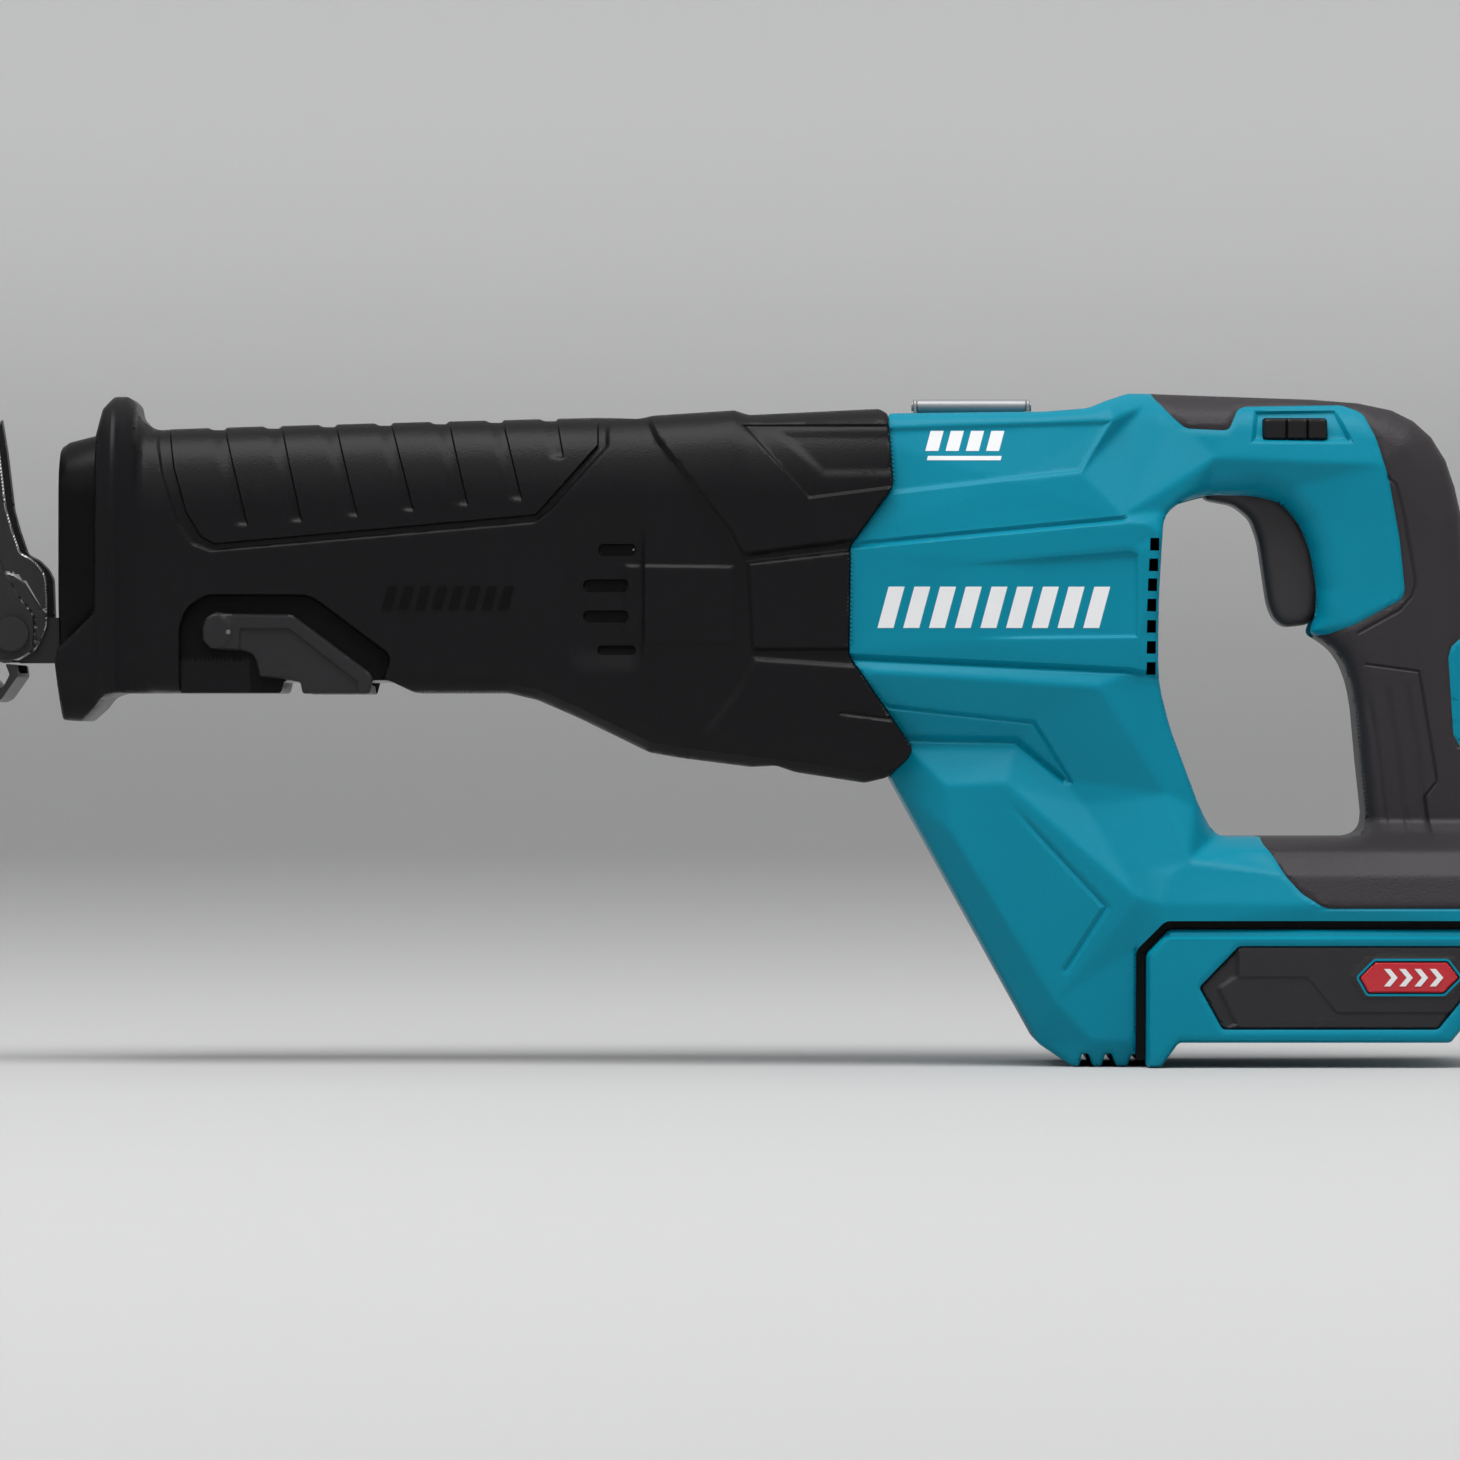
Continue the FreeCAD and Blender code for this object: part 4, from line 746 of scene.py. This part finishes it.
def make_boot():
    """The rubber boot with its hand guard: both sides in one piece."""
    outline = soften(BOOT, 1)
    pocket = soften(LEVER_POCKET, 2)
    lines = [shut(pocket)] + [parallel(pocket, d, True) for d in (0.3, -0.4, -1)]
    for x0, x1, z, r in SLOTS_BOOT:
        slot = soften([(x0, z - r), (x1, z - r), (x1, z + r), (x0, z + r)], r * 0.95, 6)
        lines += [shut(slot), shut(parallel(slot, 0.3, True))]
    for (x0, z0), (x1, z1) in RIB_EDGES:
        x2, z2 = x1 - (x0 - x1) * 2 / (z0 - z1), z1 - 2
        lines += [[(x0 + d, z0), (x2 + d, z2)] for d in (-4.2, -3, -1.8, -0.6, 0, 0.5)]
        lines += [[(x1 - 5, z1 + d), (x1 + 1, z1 + d)] for d in (-0.5, 0.3)]
    for loop, width in ((RIB_MARGIN, 1.2), (RIB_PANEL, 0.5), (PAD_UPPER, 1.8), (PAD_RECESS, 0.8),
                        (PAD_FLOOR, 3), (PAD_BOX, 1.5), (PAD_LOWER, 1.8), (PAD_SIDE, 1.3)):
        lines += banks(loop, width, True, False)
    for line in BOOT_GROOVES:
        lines += banks(line, 0.9)
    lines += [[(x, 90), (x, 190)] for x in GUARD_STATIONS]
    bottom = [(x, z + 3) for x, z in zip(LOW_X[1:-1], LOW_Z[1:-1])]
    lines += [bottom, [(x, z - 0.4) for x, z in bottom], [(x, z + 0.6) for x, z in bottom]]
    lines += [[(x, 110), (x, 154)] for x in (-21.8, -20.6)]
    rings = ring_points(outline, (0.25, 0.6, 1.2, 1.9, 2.7, 4.2, 6.2, 8.6), 1.2)
    points, tris = triangulate([outline], lines, rings, 1.1)
    tris = tris[inside(points[tris].mean(1), outline)]
    front = boot_front(points)
    x, z = points[:, 0], points[:, 1]
    pocket_edge = depth_in(points, pocket)
    lip_edge = front - rounded(-pocket_edge, 1, 1) * (pocket_edge <= 0.25)
    front = np.where(pocket_edge > 0.25, POCKET_FLOOR, lip_edge)
    top, low = np.interp(x, TOP_X, TOP_Z), np.interp(x, LOW_X, LOW_Z)
    mouth = (z > MOUTH_LOW) & (z < MOUTH_HIGH)
    room = np.minimum(np.minimum(top - z, z - low), np.where(mouth, 99, x + 170.5))
    back = np.where(room > 3, front - BOOT_WALL, 0)
    back = np.where((x < -170) & mouth, COLLAR_SEAT_HALF, back)
    back = np.where((room > 3) & (x < -156) & (x > -170), MOUTH_HALF, back)
    back = np.where((pocket_edge > 0.25) & (z > 109), POCKET_BACK, back)
    parts = both(points, tris, front, back)
    band = parallel(LIP_LINE, 3.2) + parallel(LIP_LINE, -2.4)[::-1]
    lip, fill = sheet(band, (), (), 1.6, (0.3,))
    low = np.minimum(boot_front(lip), housing_front(lip)) - 3.7
    parts += both(lip, fill, low, low - 1.2)
    strip, cover = sheet(TOP_STRIP, (), (), 1.6, (0.3,))
    parts += both(strip, cover, level(strip, STRIP_HALF), level(strip, 0))
    boot = joined_at_middle(parts)
    # The vent slot floors and the lever pocket's floor wear painted shade.
    piece("front_boot_cover", boot, BOOT_RUBBER, "body", ["front_boot"], SHADE_AND_LETTERING_BLACK, in_painted_shade)


# ---- collar, lever, trigger, button and cradle --------------------------------------------------
STROKE_Z = 145
BORE = 20.5
COLLAR_BACK = 172.4
COLLAR_FRONT = 183.4
COLLAR_RING = [(-20, 175.4), (-26.5, 169.5), (-28.8, 160), (-28.8, 131), (-26, 119.8), (-22, 112.8),
    (22, 112.8), (26, 119.8), (28.8, 131), (28.8, 160), (26.5, 169.5), (20, 175.4)]
LEVER = [(-143.3, 118), (-143.4, 121.5), (-142.3, 124.4), (-139.5, 126), (-136, 125.5), (-118.5, 125.3),
    (-97, 109.2), (-95.9, 107.5), (-97, 103.3), (-115.6, 103.3), (-116.2, 106.4), (-120, 107.2),
    (-127.5, 108), (-129, 113.8), (-131.5, 115.1), (-141, 115.6)]
LEVER_FLAT = [(-133.5, 113), (-133, 121.6), (-119.4, 121.6), (-100, 106.8), (-100, 100), (-133.5, 100)]
LEVER_HALF = 29.2
LEVER_INNER = 27.25
WEB_HALF = 27.4
TRIGGER_HALF = 8.9
TRIGGER_LOOP = [(135, 157.6), (143.5, 156), (148.2, 152.2), (150.4, 146), (151.6, 138), (153, 128.5),
    (154.6, 124.4), (157.5, 121.9), (164, 122.6), (166.8, 125), (168.2, 133), (166.5, 145), (161.5, 155),
    (155, 161), (147, 165), (138.5, 165.3), (135.5, 162)]
BUTTON_GROOVES = (157.6, 163.4)
BOLT_LEFT = 18.3
BOLT_RIGHT = 14.7
CRADLE = [(117.8, 0.1), (117.8, 31.4), (124, 38.1), (218.3, 38.1), (218.3, 28), (201.5, 7), (126.5, 7),
    (121.5, 0.1)]
BAY_HALF = 35
RAIL_HALF = 30.6
SEAT_HALF = 38.5
CRADLE_HALF = 41.6
INLAY_HALF = 41
BADGE_HALF = 41.75
INLAY = [(132, 22.3), (143, 33.7), (209.5, 33.7), (213.2, 29.5), (198, 10.6), (138.5, 10.6)]
INLAY_STEP = [(143, 40), (143, 25.1), (162, 25.1), (170, 15.3), (203, 15.3), (230, 40)]
INLAY_WEDGE = [(120, 45), (143, 33.7), (143, 25.1), (138.1, 21.9), (143, 12), (120, 0)]
BADGE_MOAT = [(173.5, 25), (178, 30.8), (203, 30.8), (206.5, 25.2), (202, 19.2), (177, 19.2)]
BADGE = [(176.3, 25), (180.6, 29.3), (200.4, 29.3), (203.6, 25), (199.4, 20.8), (178.7, 20.8)]


def make_collar():
    """The nose collar: a rounded ring round the stroke shaft's mouth."""
    loop = soften(COLLAR_RING, 4, 5)
    turns = [math.radians(a) for a in range(-34, 215, 4)]
    mouth = [(BORE * math.cos(a), STROKE_Z + BORE * math.sin(a)) for a in turns]
    mouth += [(-17, 115.6), (-17, 114.8), (17, 114.8), (17, 115.6)]
    points, tris = sheet(loop, [mouth], [], 1.6, (0.25, 0.8, 1.6, 2.7, 4))
    edge, hole = distance(points, loop, True), distance(points, mouth, True)
    front = COLLAR_FRONT - rounded(edge, 2.6, 2.4) - rounded(hole, 0.8, 0.8)
    verts, faces = shell_mesh(points, tris, front, level(points, COLLAR_BACK), 1)
    turned = []
    for x, y, z in verts:
        lean = 0.26 * max(0, y - COLLAR_BACK) * ease(np.array((z - 158) / 14))
        turned.append((-y, x, z - lean))
    piece("nose_ring", (turned, faces), COLLAR_BLACK, "body", ["nose_collar"])


def make_lever():
    """The shoe's lock lever: a bevelled arm on each side and the web below that joins them."""
    loop = soften(LEVER, 0.7)
    eye = circle(-136.2, 120.4, 0.7, 12)
    boss = circle(-140, 120.6, 5.3, 36)
    lines = banks(LEVER_FLAT, 0.6, True, False) + [shut(boss)]
    points, tris = sheet(loop, [eye], lines, 0.8, (0.2, 0.5, 0.9, 1.4))
    front = LEVER_HALF - rounded(distance(points, loop, True), 0.9, 0.9)
    front += pad(points, LEVER_FLAT, -0.7, 0.6) + 0.6 * ease(depth_in(points, boss) / 0.8)
    parts = both(points, tris, front, level(points, LEVER_INNER))
    web = [(-115.6, 103.4), (-116, 105.9), (-97.6, 105.9), (-97.2, 103.4)]
    low, fill = sheet(soften(web, 0.5), (), (), 1.2, (0.3, 0.7))
    middle = shell_mesh(low, fill, level(low, WEB_HALF), level(low, -WEB_HALF), 1, -30)
    piece("lever_arms", joined(parts + [middle]), LEVER_GREY, "lever", ["shoe_lock_lever"])


def make_trigger():
    """The trigger with generously rounded edges."""
    loop = soften(TRIGGER_LOOP, 2)
    points, tris = sheet(loop, (), (), 0.9, (0.2, 0.5, 0.9, 1.5, 2.2, 3, 3.8))
    front = TRIGGER_HALF - rounded(distance(points, loop, True), 3.2, 3.8)
    shape = joined_at_middle(both(points, tris, front, level(points, 0)))
    piece("trigger_lever", shape, TRIGGER_BLACK, "trigger", ["trigger"])


def make_button():
    """The cross-bolt lock button with its two grooves at either end."""
    loop = soften([(151.1, 174.1), (151.1, 179.9), (168.9, 179.9), (168.9, 174.1)], 1.3)
    lines = []
    for x in BUTTON_GROOVES:
        lines += [[(x + d, 173), (x + d, 181)] for d in (-0.45, -0.2, 0, 0.2, 0.45)]
    points, tris = sheet(loop, (), lines, 0.8, (0.2, 0.5, 0.9))
    cut = rounded(distance(points, loop, True), 1, 1)
    for x in BUTTON_GROOVES:
        cut += 0.8 * ease(1 - np.abs(points[:, 0] - x) / 0.5)
    bolt = shell_mesh(points, tris, BOLT_RIGHT - cut, cut - BOLT_LEFT, 1, -30)
    piece("lock_bolt", bolt, BLACK, "lock", ["lock_button"])


def make_cradle():
    """The battery cradle's halves, their inlays and the red badges; the plain chevrons on them come with
    the marks.
    """
    loop = soften(CRADLE, 1)
    seat = soften(INLAY, 1)
    lines = [[(124.5, -2), (124.5, 31.5), (222, 31.5)]]
    lines += [[(126, 14), (212, 14), (212, 18), (126, 18), (126, 14)]]
    lines += [[(122.5, 35.6), (221, 35.6)], [(122.5, 36.4), (221, 36.4)]]
    lines.append(shut(parallel(seat, -1, True)))
    points, tris = sheet(loop, [seat], lines, 1.6, (0.25, 0.8, 1.6, 2.6))
    x, z = points[:, 0], points[:, 1]
    front = CRADLE_HALF - rounded(distance(points, loop, True), 1.8, 1.8) - 1.3 * ease((z - 35.6) / 0.8)
    front -= rounded(distance(points, seat, True), 0.5, 0.6)
    bay = (x > 124.4) & (z < 31.6)
    rail = (x > 125.9) & (x < 212.1) & (z > 13.9) & (z < 18.1)
    back = np.where(bay, np.where(rail, RAIL_HALF, BAY_HALF), 0)
    floor, fill = sheet(seat, (), lines[:2], 1.8, (0.4, 1))
    rail = (floor[:, 0] > 125.9) & (floor[:, 1] > 13.9) & (floor[:, 1] < 18.1)
    deep = np.where(floor[:, 1] < 31.6, np.where(rail, RAIL_HALF, BAY_HALF), 0)
    for side, word in SIDES:
        outer = shell_mesh(points, tris, front, back, side)
        pan = shell_mesh(floor, fill, level(floor, SEAT_HALF), deep, side)
        piece("cradle_shell_" + word, joined([outer, pan]), TEAL, "body", ["cradle_" + word])
    border = soften(parallel(INLAY, 0.3, True), 0.8)
    lines = banks(INLAY_STEP, 0.6) + banks(INLAY_WEDGE, 1.2, True, False)
    hexagon = soften(parallel(BADGE, -0.3, True), 0.5)
    moat = soften(BADGE_MOAT, 0.8)
    ring = max((parallel(hexagon, d, True) for d in (-0.6, 0.6)), key=lambda c: max(x for x, z in c))
    lines += [shut(moat), shut(parallel(moat, 0.6, True)), shut(ring)]
    points, tris = sheet(border, [hexagon], lines, 1.2, (0.2, 0.5, 1))

    def framed(middles):
        return inside(middles[:, [0, 2]], ring) & (np.abs(middles[:, 1]) > 40.5)

    front = INLAY_HALF - rounded(distance(points, border, True), 0.8, 0.8)
    below = depth_in(points, INLAY_STEP + [(230, 60), (143, 60)])
    front += 0.45 * ease(below / 0.6 + 0.5) + pad(points, INLAY_WEDGE, -0.9, 1.2)
    front += 0.3 * ease(depth_in(points, moat) / 0.6)
    badge = soften(BADGE, 0.5)
    red, red_fill = sheet(badge, (), (), 1, (0.2, 0.5, 0.9))
    dome = BADGE_HALF - rounded(distance(red, badge, True), 0.5, 0.7)
    for side, word in SIDES:
        inlay = shell_mesh(points, tris, front, level(points, SEAT_HALF + 0.05), side)
        piece("inlay_plate_" + word, inlay, INLAY_BLACK, "body", ["cradle_inlay_" + word],
              TEAL, framed)
        plate = shell_mesh(red, red_fill, dome, level(red, 40.4), side)
        piece("badge_plate_" + word, plate, RED, "body", ["badge_" + word])


# ---- marks and shoe ------------------------------------------------------------------------------
def slanted(x, z, wide, tall, lean=0.27):
    """A plain slanted bar standing at (x, z)."""
    return [(x, z), (x + wide, z), (x + wide + lean * tall, z + tall), (x + lean * tall, z + tall)]


WORD_BARS = [(43.5 + 7.1 * k, 121.4, 4.4, 11.4) for k in range(9)]
SMALL_BARS = [(56.8 + 5.6 * k, 170.4, 3.6, 5.6) for k in range(4)] + [(57.2, 167.8, 20.4, 1.2)]
CHEVRON = [(0, 22.6), (1.7, 22.6), (3.7, 25), (1.7, 27.4), (0, 27.4), (2, 25)]
BOOT_BARS = [(-93.6 + 4.6 * k, 126.6, 2.7, 6.4) for k in range(8)]


def make_marks():
    """Plain slanted bars where a maker's lettering would be, printed on teal and moulded on the boot."""
    for side, word in SIDES:
        parts = []
        for bar in WORD_BARS + SMALL_BARS:
            points, tris = sheet(slanted(*bar), (), (), 1.1, (0.3,))
            high = housing_front(points)
            parts.append(shell_mesh(points, tris, high + 0.08, high - 0.3, side))
        piece("printed_bars_" + word, joined(parts), WHITE, "body", [])
        parts = []
        for bar in BOOT_BARS:
            points, tris = sheet(soften(slanted(*bar), 0.3), (), (), 0.9, (0.2, 0.4))
            high = boot_front(points)
            parts.append(shell_mesh(points, tris, high + 0.45, high - 0.4, side))
        piece("moulded_bars_" + word, joined(parts), SHADE_AND_LETTERING_BLACK, "body", [])
        parts = []
        for k in range(4):
            x = 183 + 4.2 * k
            chevron = [(x + dx, z) for dx, z in CHEVRON]
            points, tris = sheet(chevron, (), (), 0.9, (0.2,))
            parts.append(shell_mesh(points, tris, level(points, 41.98), level(points, 41.5), side))
        piece("badge_chevrons_" + word, joined(parts), WHITE, "body", [])


EAR = [(-202, 181), (-200.4, 171), (-198.5, 155), (-196.8, 149), (-194.6, 142.6), (-191.4, 141),
    (-188.8, 138.4), (-187.4, 135.6), (-187, 122), (-190, 115.5), (-195, 112.5), (-202, 112), (-209.5, 116),
    (-214.5, 130), (-216, 144), (-214.5, 158), (-210, 172)]
EAR_STEP = [(-225, 100), (-191.4, 100), (-190.6, 122.4), (-191, 125.3), (-195.2, 130.7), (-198.7, 137.4),
    (-201.6, 143.8), (-206, 156), (-225, 156)]
EAR_SHELF = [(-186, 124.4), (-188.5, 126.8), (-190.6, 130), (-193.2, 134.2), (-196.2, 136.4), (-199, 137.2)]
FACE = [(-204, 183.5), (-210, 172), (-214, 158), (-215.4, 144), (-213.5, 128), (-208.5, 113.5), (-203, 107),
    (-200.6, 104.6), (-199, 105.2), (-197.2, 108.6), (-198.4, 111.6), (-195.3, 111.4), (-195, 108.2),
    (-199.4, 101.9), (-201.4, 100.9), (-211, 111.5), (-216.5, 127), (-218.3, 144), (-217, 158.5),
    (-212.8, 173), (-206.5, 185)]
FACE_HALF = 22
WINDOW_HALF = 5.5
EAR_HALF = 17.7
EAR_INNER = 16.4
CURL_INNER = 16.8


def make_shoe():
    """The pressed shoe: a curved face with a blade window, and stepped ears whose edges are brighter steel,
    partly from wear and partly as painted highlight.
    """
    loop = soften(FACE, 0.6)
    lines = [[(-225, z), (-190, z)] for z in (109, 109.25, 122, 168)]
    points, tris = sheet(loop, (), lines, 1.2, (0.3,))
    window = (points[:, 1] > 121.95) & (points[:, 1] < 168.05) & (points[:, 0] < -206)
    cap = FACE_HALF - rounded(points[:, 1] - 100.8, 3, 4) - rounded(185 - points[:, 1], 5, 7)
    curl = (points[:, 1] > 109.1) & (points[:, 0] > -201) & (points[:, 1] < 114)
    back = np.where(curl, CURL_INNER, np.where(window, WINDOW_HALF, 0))
    parts = both(points, tris, cap, back)
    ear = soften(EAR, 0.8)
    eye = circle(-197, 120, 3.1)
    lines = [shut(EAR_STEP), parallel(EAR_STEP, 0.35, True), EAR_SHELF, parallel(EAR_SHELF, 0.4)]
    points, tris = sheet(ear, [eye], lines, 1, (0.2, 0.5))
    high = EAR_HALF - rounded(distance(points, ear, True), 0.4, 0.5)
    high += 0.9 * ease(depth_in(points, EAR_STEP) / 0.35)
    shelf = EAR_SHELF + [(-230, 137.2), (-230, 100), (-186, 100)]
    high += 0.6 * ease(depth_in(points, shelf) / 0.4) * (depth_in(points, EAR_STEP) < 0)
    parts += both(points, tris, high, level(points, EAR_INNER))

    # Edge faces in brighter steel along rims, step ridges and the shelf's edge: partly wear, partly painted
    # highlights.
    def worn_and_highlit(middles):
        p = middles[:, [0, 2]]
        side = np.abs(middles[:, 1])
        rim = (distance(p, ear, True) < 0.42) & (side > 16.3) & (side < 18.8)
        ridge = (np.abs(depth_in(p, EAR_STEP) - 0.17) < 0.2) & (side > 17.2) & (side < 18.9)
        shelf_edge = (distance(p, EAR_SHELF) < 0.42) & (side > 17.2) & (side < 18.4)
        return rim | ridge & inside(p, ear) | shelf_edge & (p[:, 0] > -199)

    shoe = joined_at_middle(parts)
    piece("shoe_pressing", shoe, DARK_STEEL, "shoe", ["shoe_plate"], WORN_AND_HIGHLIGHT_STEEL, worn_and_highlit)


def make_hook():
    """The hook's two thin ears on the housing's top and the pin through them."""
    parts = []
    ear = soften([(3.4, 179.5), (3.4, 186), (8.6, 186), (8.6, 179.5)], 2.2, 6)
    points, tris = sheet(ear, (), (), 0.9, (0.2, 0.5))
    for x in (54.2, 85.8):
        edge = rounded(distance(points, ear, True), 0.25, 0.4)
        turned, faces = shell_mesh(points, tris, x + 1 - edge, x + edge, 1)
        parts.append(([(y, px, z) for px, y, z in turned], faces))
    pin = soften([(4.7, 182.7), (4.7, 185.3), (7.3, 185.3), (7.3, 182.7)], 1.25, 6)
    points, tris = sheet(pin, (), (), 0.7, (0.2,))
    turned, faces = shell_mesh(points, tris, level(points, 87.3), level(points, 53.7), 1)
    parts.append(([(y, px, z) for px, y, z in turned], faces))
    piece("hook_ears", joined(parts), SATIN_STEEL, "body", ["hook_bracket", "hook_pin"])
    dress(frame["nodes"]["hang_hook"], SATIN_STEEL)


for make in (make_housing, make_boot, make_collar, make_lever, make_trigger, make_button, make_cradle,
             make_marks, make_shoe, make_hook):
    make()


# ---- stage, light and camera --------------------------------------------------------------------
FLOOR_TONE = (0.48, 0.48, 0.48)
WALL_TONE = (0.94, 0.94, 0.94)
FLOOR_RADIUS, COVE, WALL_TOP = 4.4, 2, 5
VIEW_WIDTH = 0.4088
VIEW_CENTRE = (0.0028, 0.09324)
VIEW_DISTANCE = 2.6
SENSOR = 36


def stage_paper():
    """Pale paper that gets a little lighter up the wall."""
    mat = plastic("paper", FLOOR_TONE, 0.9, mottle=0)
    nodes, links = mat.node_tree.nodes, mat.node_tree.links
    split = nodes.new("ShaderNodeSeparateXYZ")
    height = nodes.new("ShaderNodeMapRange")
    height.interpolation_type = "SMOOTHSTEP"
    height.inputs["From Max"].default_value = 0.7
    tone = nodes.new("ShaderNodeMix")
    tone.data_type = "RGBA"
    tone.inputs["A"].default_value = (*FLOOR_TONE, 1)
    tone.inputs["B"].default_value = (*WALL_TONE, 1)
    links.new(nodes["Texture Coordinate"].outputs["Object"], split.inputs["Vector"])
    links.new(split.outputs["Z"], height.inputs["Value"])
    links.new(height.outputs["Result"], tone.inputs["Factor"])
    links.new(tone.outputs["Result"], nodes["Principled BSDF"].inputs["Base Color"])
    return mat


def make_stage():
    """A wide round floor that curves up into a pale wall on every side."""
    profile = [(0.05, 0), (1.5, 0), (FLOOR_RADIUS, 0)]
    for k in range(1, 13):
        a = math.radians(7.5 * k)
        profile.append((FLOOR_RADIUS + COVE * math.sin(a), COVE - COVE * math.cos(a)))
    profile.append((FLOOR_RADIUS + COVE, WALL_TOP))
    count = 72
    turns = [2 * math.pi * k / count for k in range(count)]
    verts = [(radius * math.cos(a), radius * math.sin(a), z) for radius, z in profile for a in turns]
    faces = [tuple(range(count))]
    for low in range(0, len(verts) - count, count):
        for here, nxt in pairs([low + k for k in range(count)]):
            faces.append((here, count + here, count + nxt, nxt))
    mesh = bpy.data.meshes.new("backdrop")
    mesh.from_pydata(verts, [], faces)
    mesh.polygons.foreach_set("use_smooth", [True] * len(mesh.polygons))
    mesh.materials.append(stage_paper())
    floor = bpy.data.objects.new("backdrop", mesh)
    scene.collection.objects.link(floor)


def area_light(name, place, target, size, power):
    """A rectangular soft light that points at its target."""
    data = bpy.data.lights.new(name, "AREA")
    data.shape = "RECTANGLE"
    data.size, data.size_y = size
    data.energy = power
    lamp = bpy.data.objects.new(name, data)
    scene.collection.objects.link(lamp)
    lamp.location = place
    lamp.rotation_euler = (Vector(target) - Vector(place)).to_track_quat("-Z", "Y").to_euler()


make_stage()
area_light("key_above", (0, -0.9, 2.4), (0, 0, 0.1), (3, 1.4), 68)
area_light("front_fill", (-0.5, -2.2, 1.5), (0, 0, 0.1), (1.6, 0.7), 4)
area_light("ceiling", (0, 0, 4.8), (0, 0.001, 0), (10, 10), 190)
world = bpy.data.worlds.new("studio")
world.use_nodes = True
sky = world.node_tree.nodes["Background"].inputs
sky["Color"].default_value = (0.8, 0.82, 0.85, 1)
sky["Strength"].default_value = 0.12
scene.world = world

camera_data = bpy.data.cameras.new("camera")
camera = bpy.data.objects.new("camera", camera_data)
scene.collection.objects.link(camera)
scene.camera = camera
camera_data.sensor_width = SENSOR
camera_data.clip_end = 50
camera_data.lens = SENSOR * VIEW_DISTANCE / VIEW_WIDTH
camera.location = (VIEW_CENTRE[0], -VIEW_DISTANCE, VIEW_CENTRE[1])
camera.rotation_euler = (math.radians(90), 0, 0)
scene.view_settings.view_transform = "Standard"
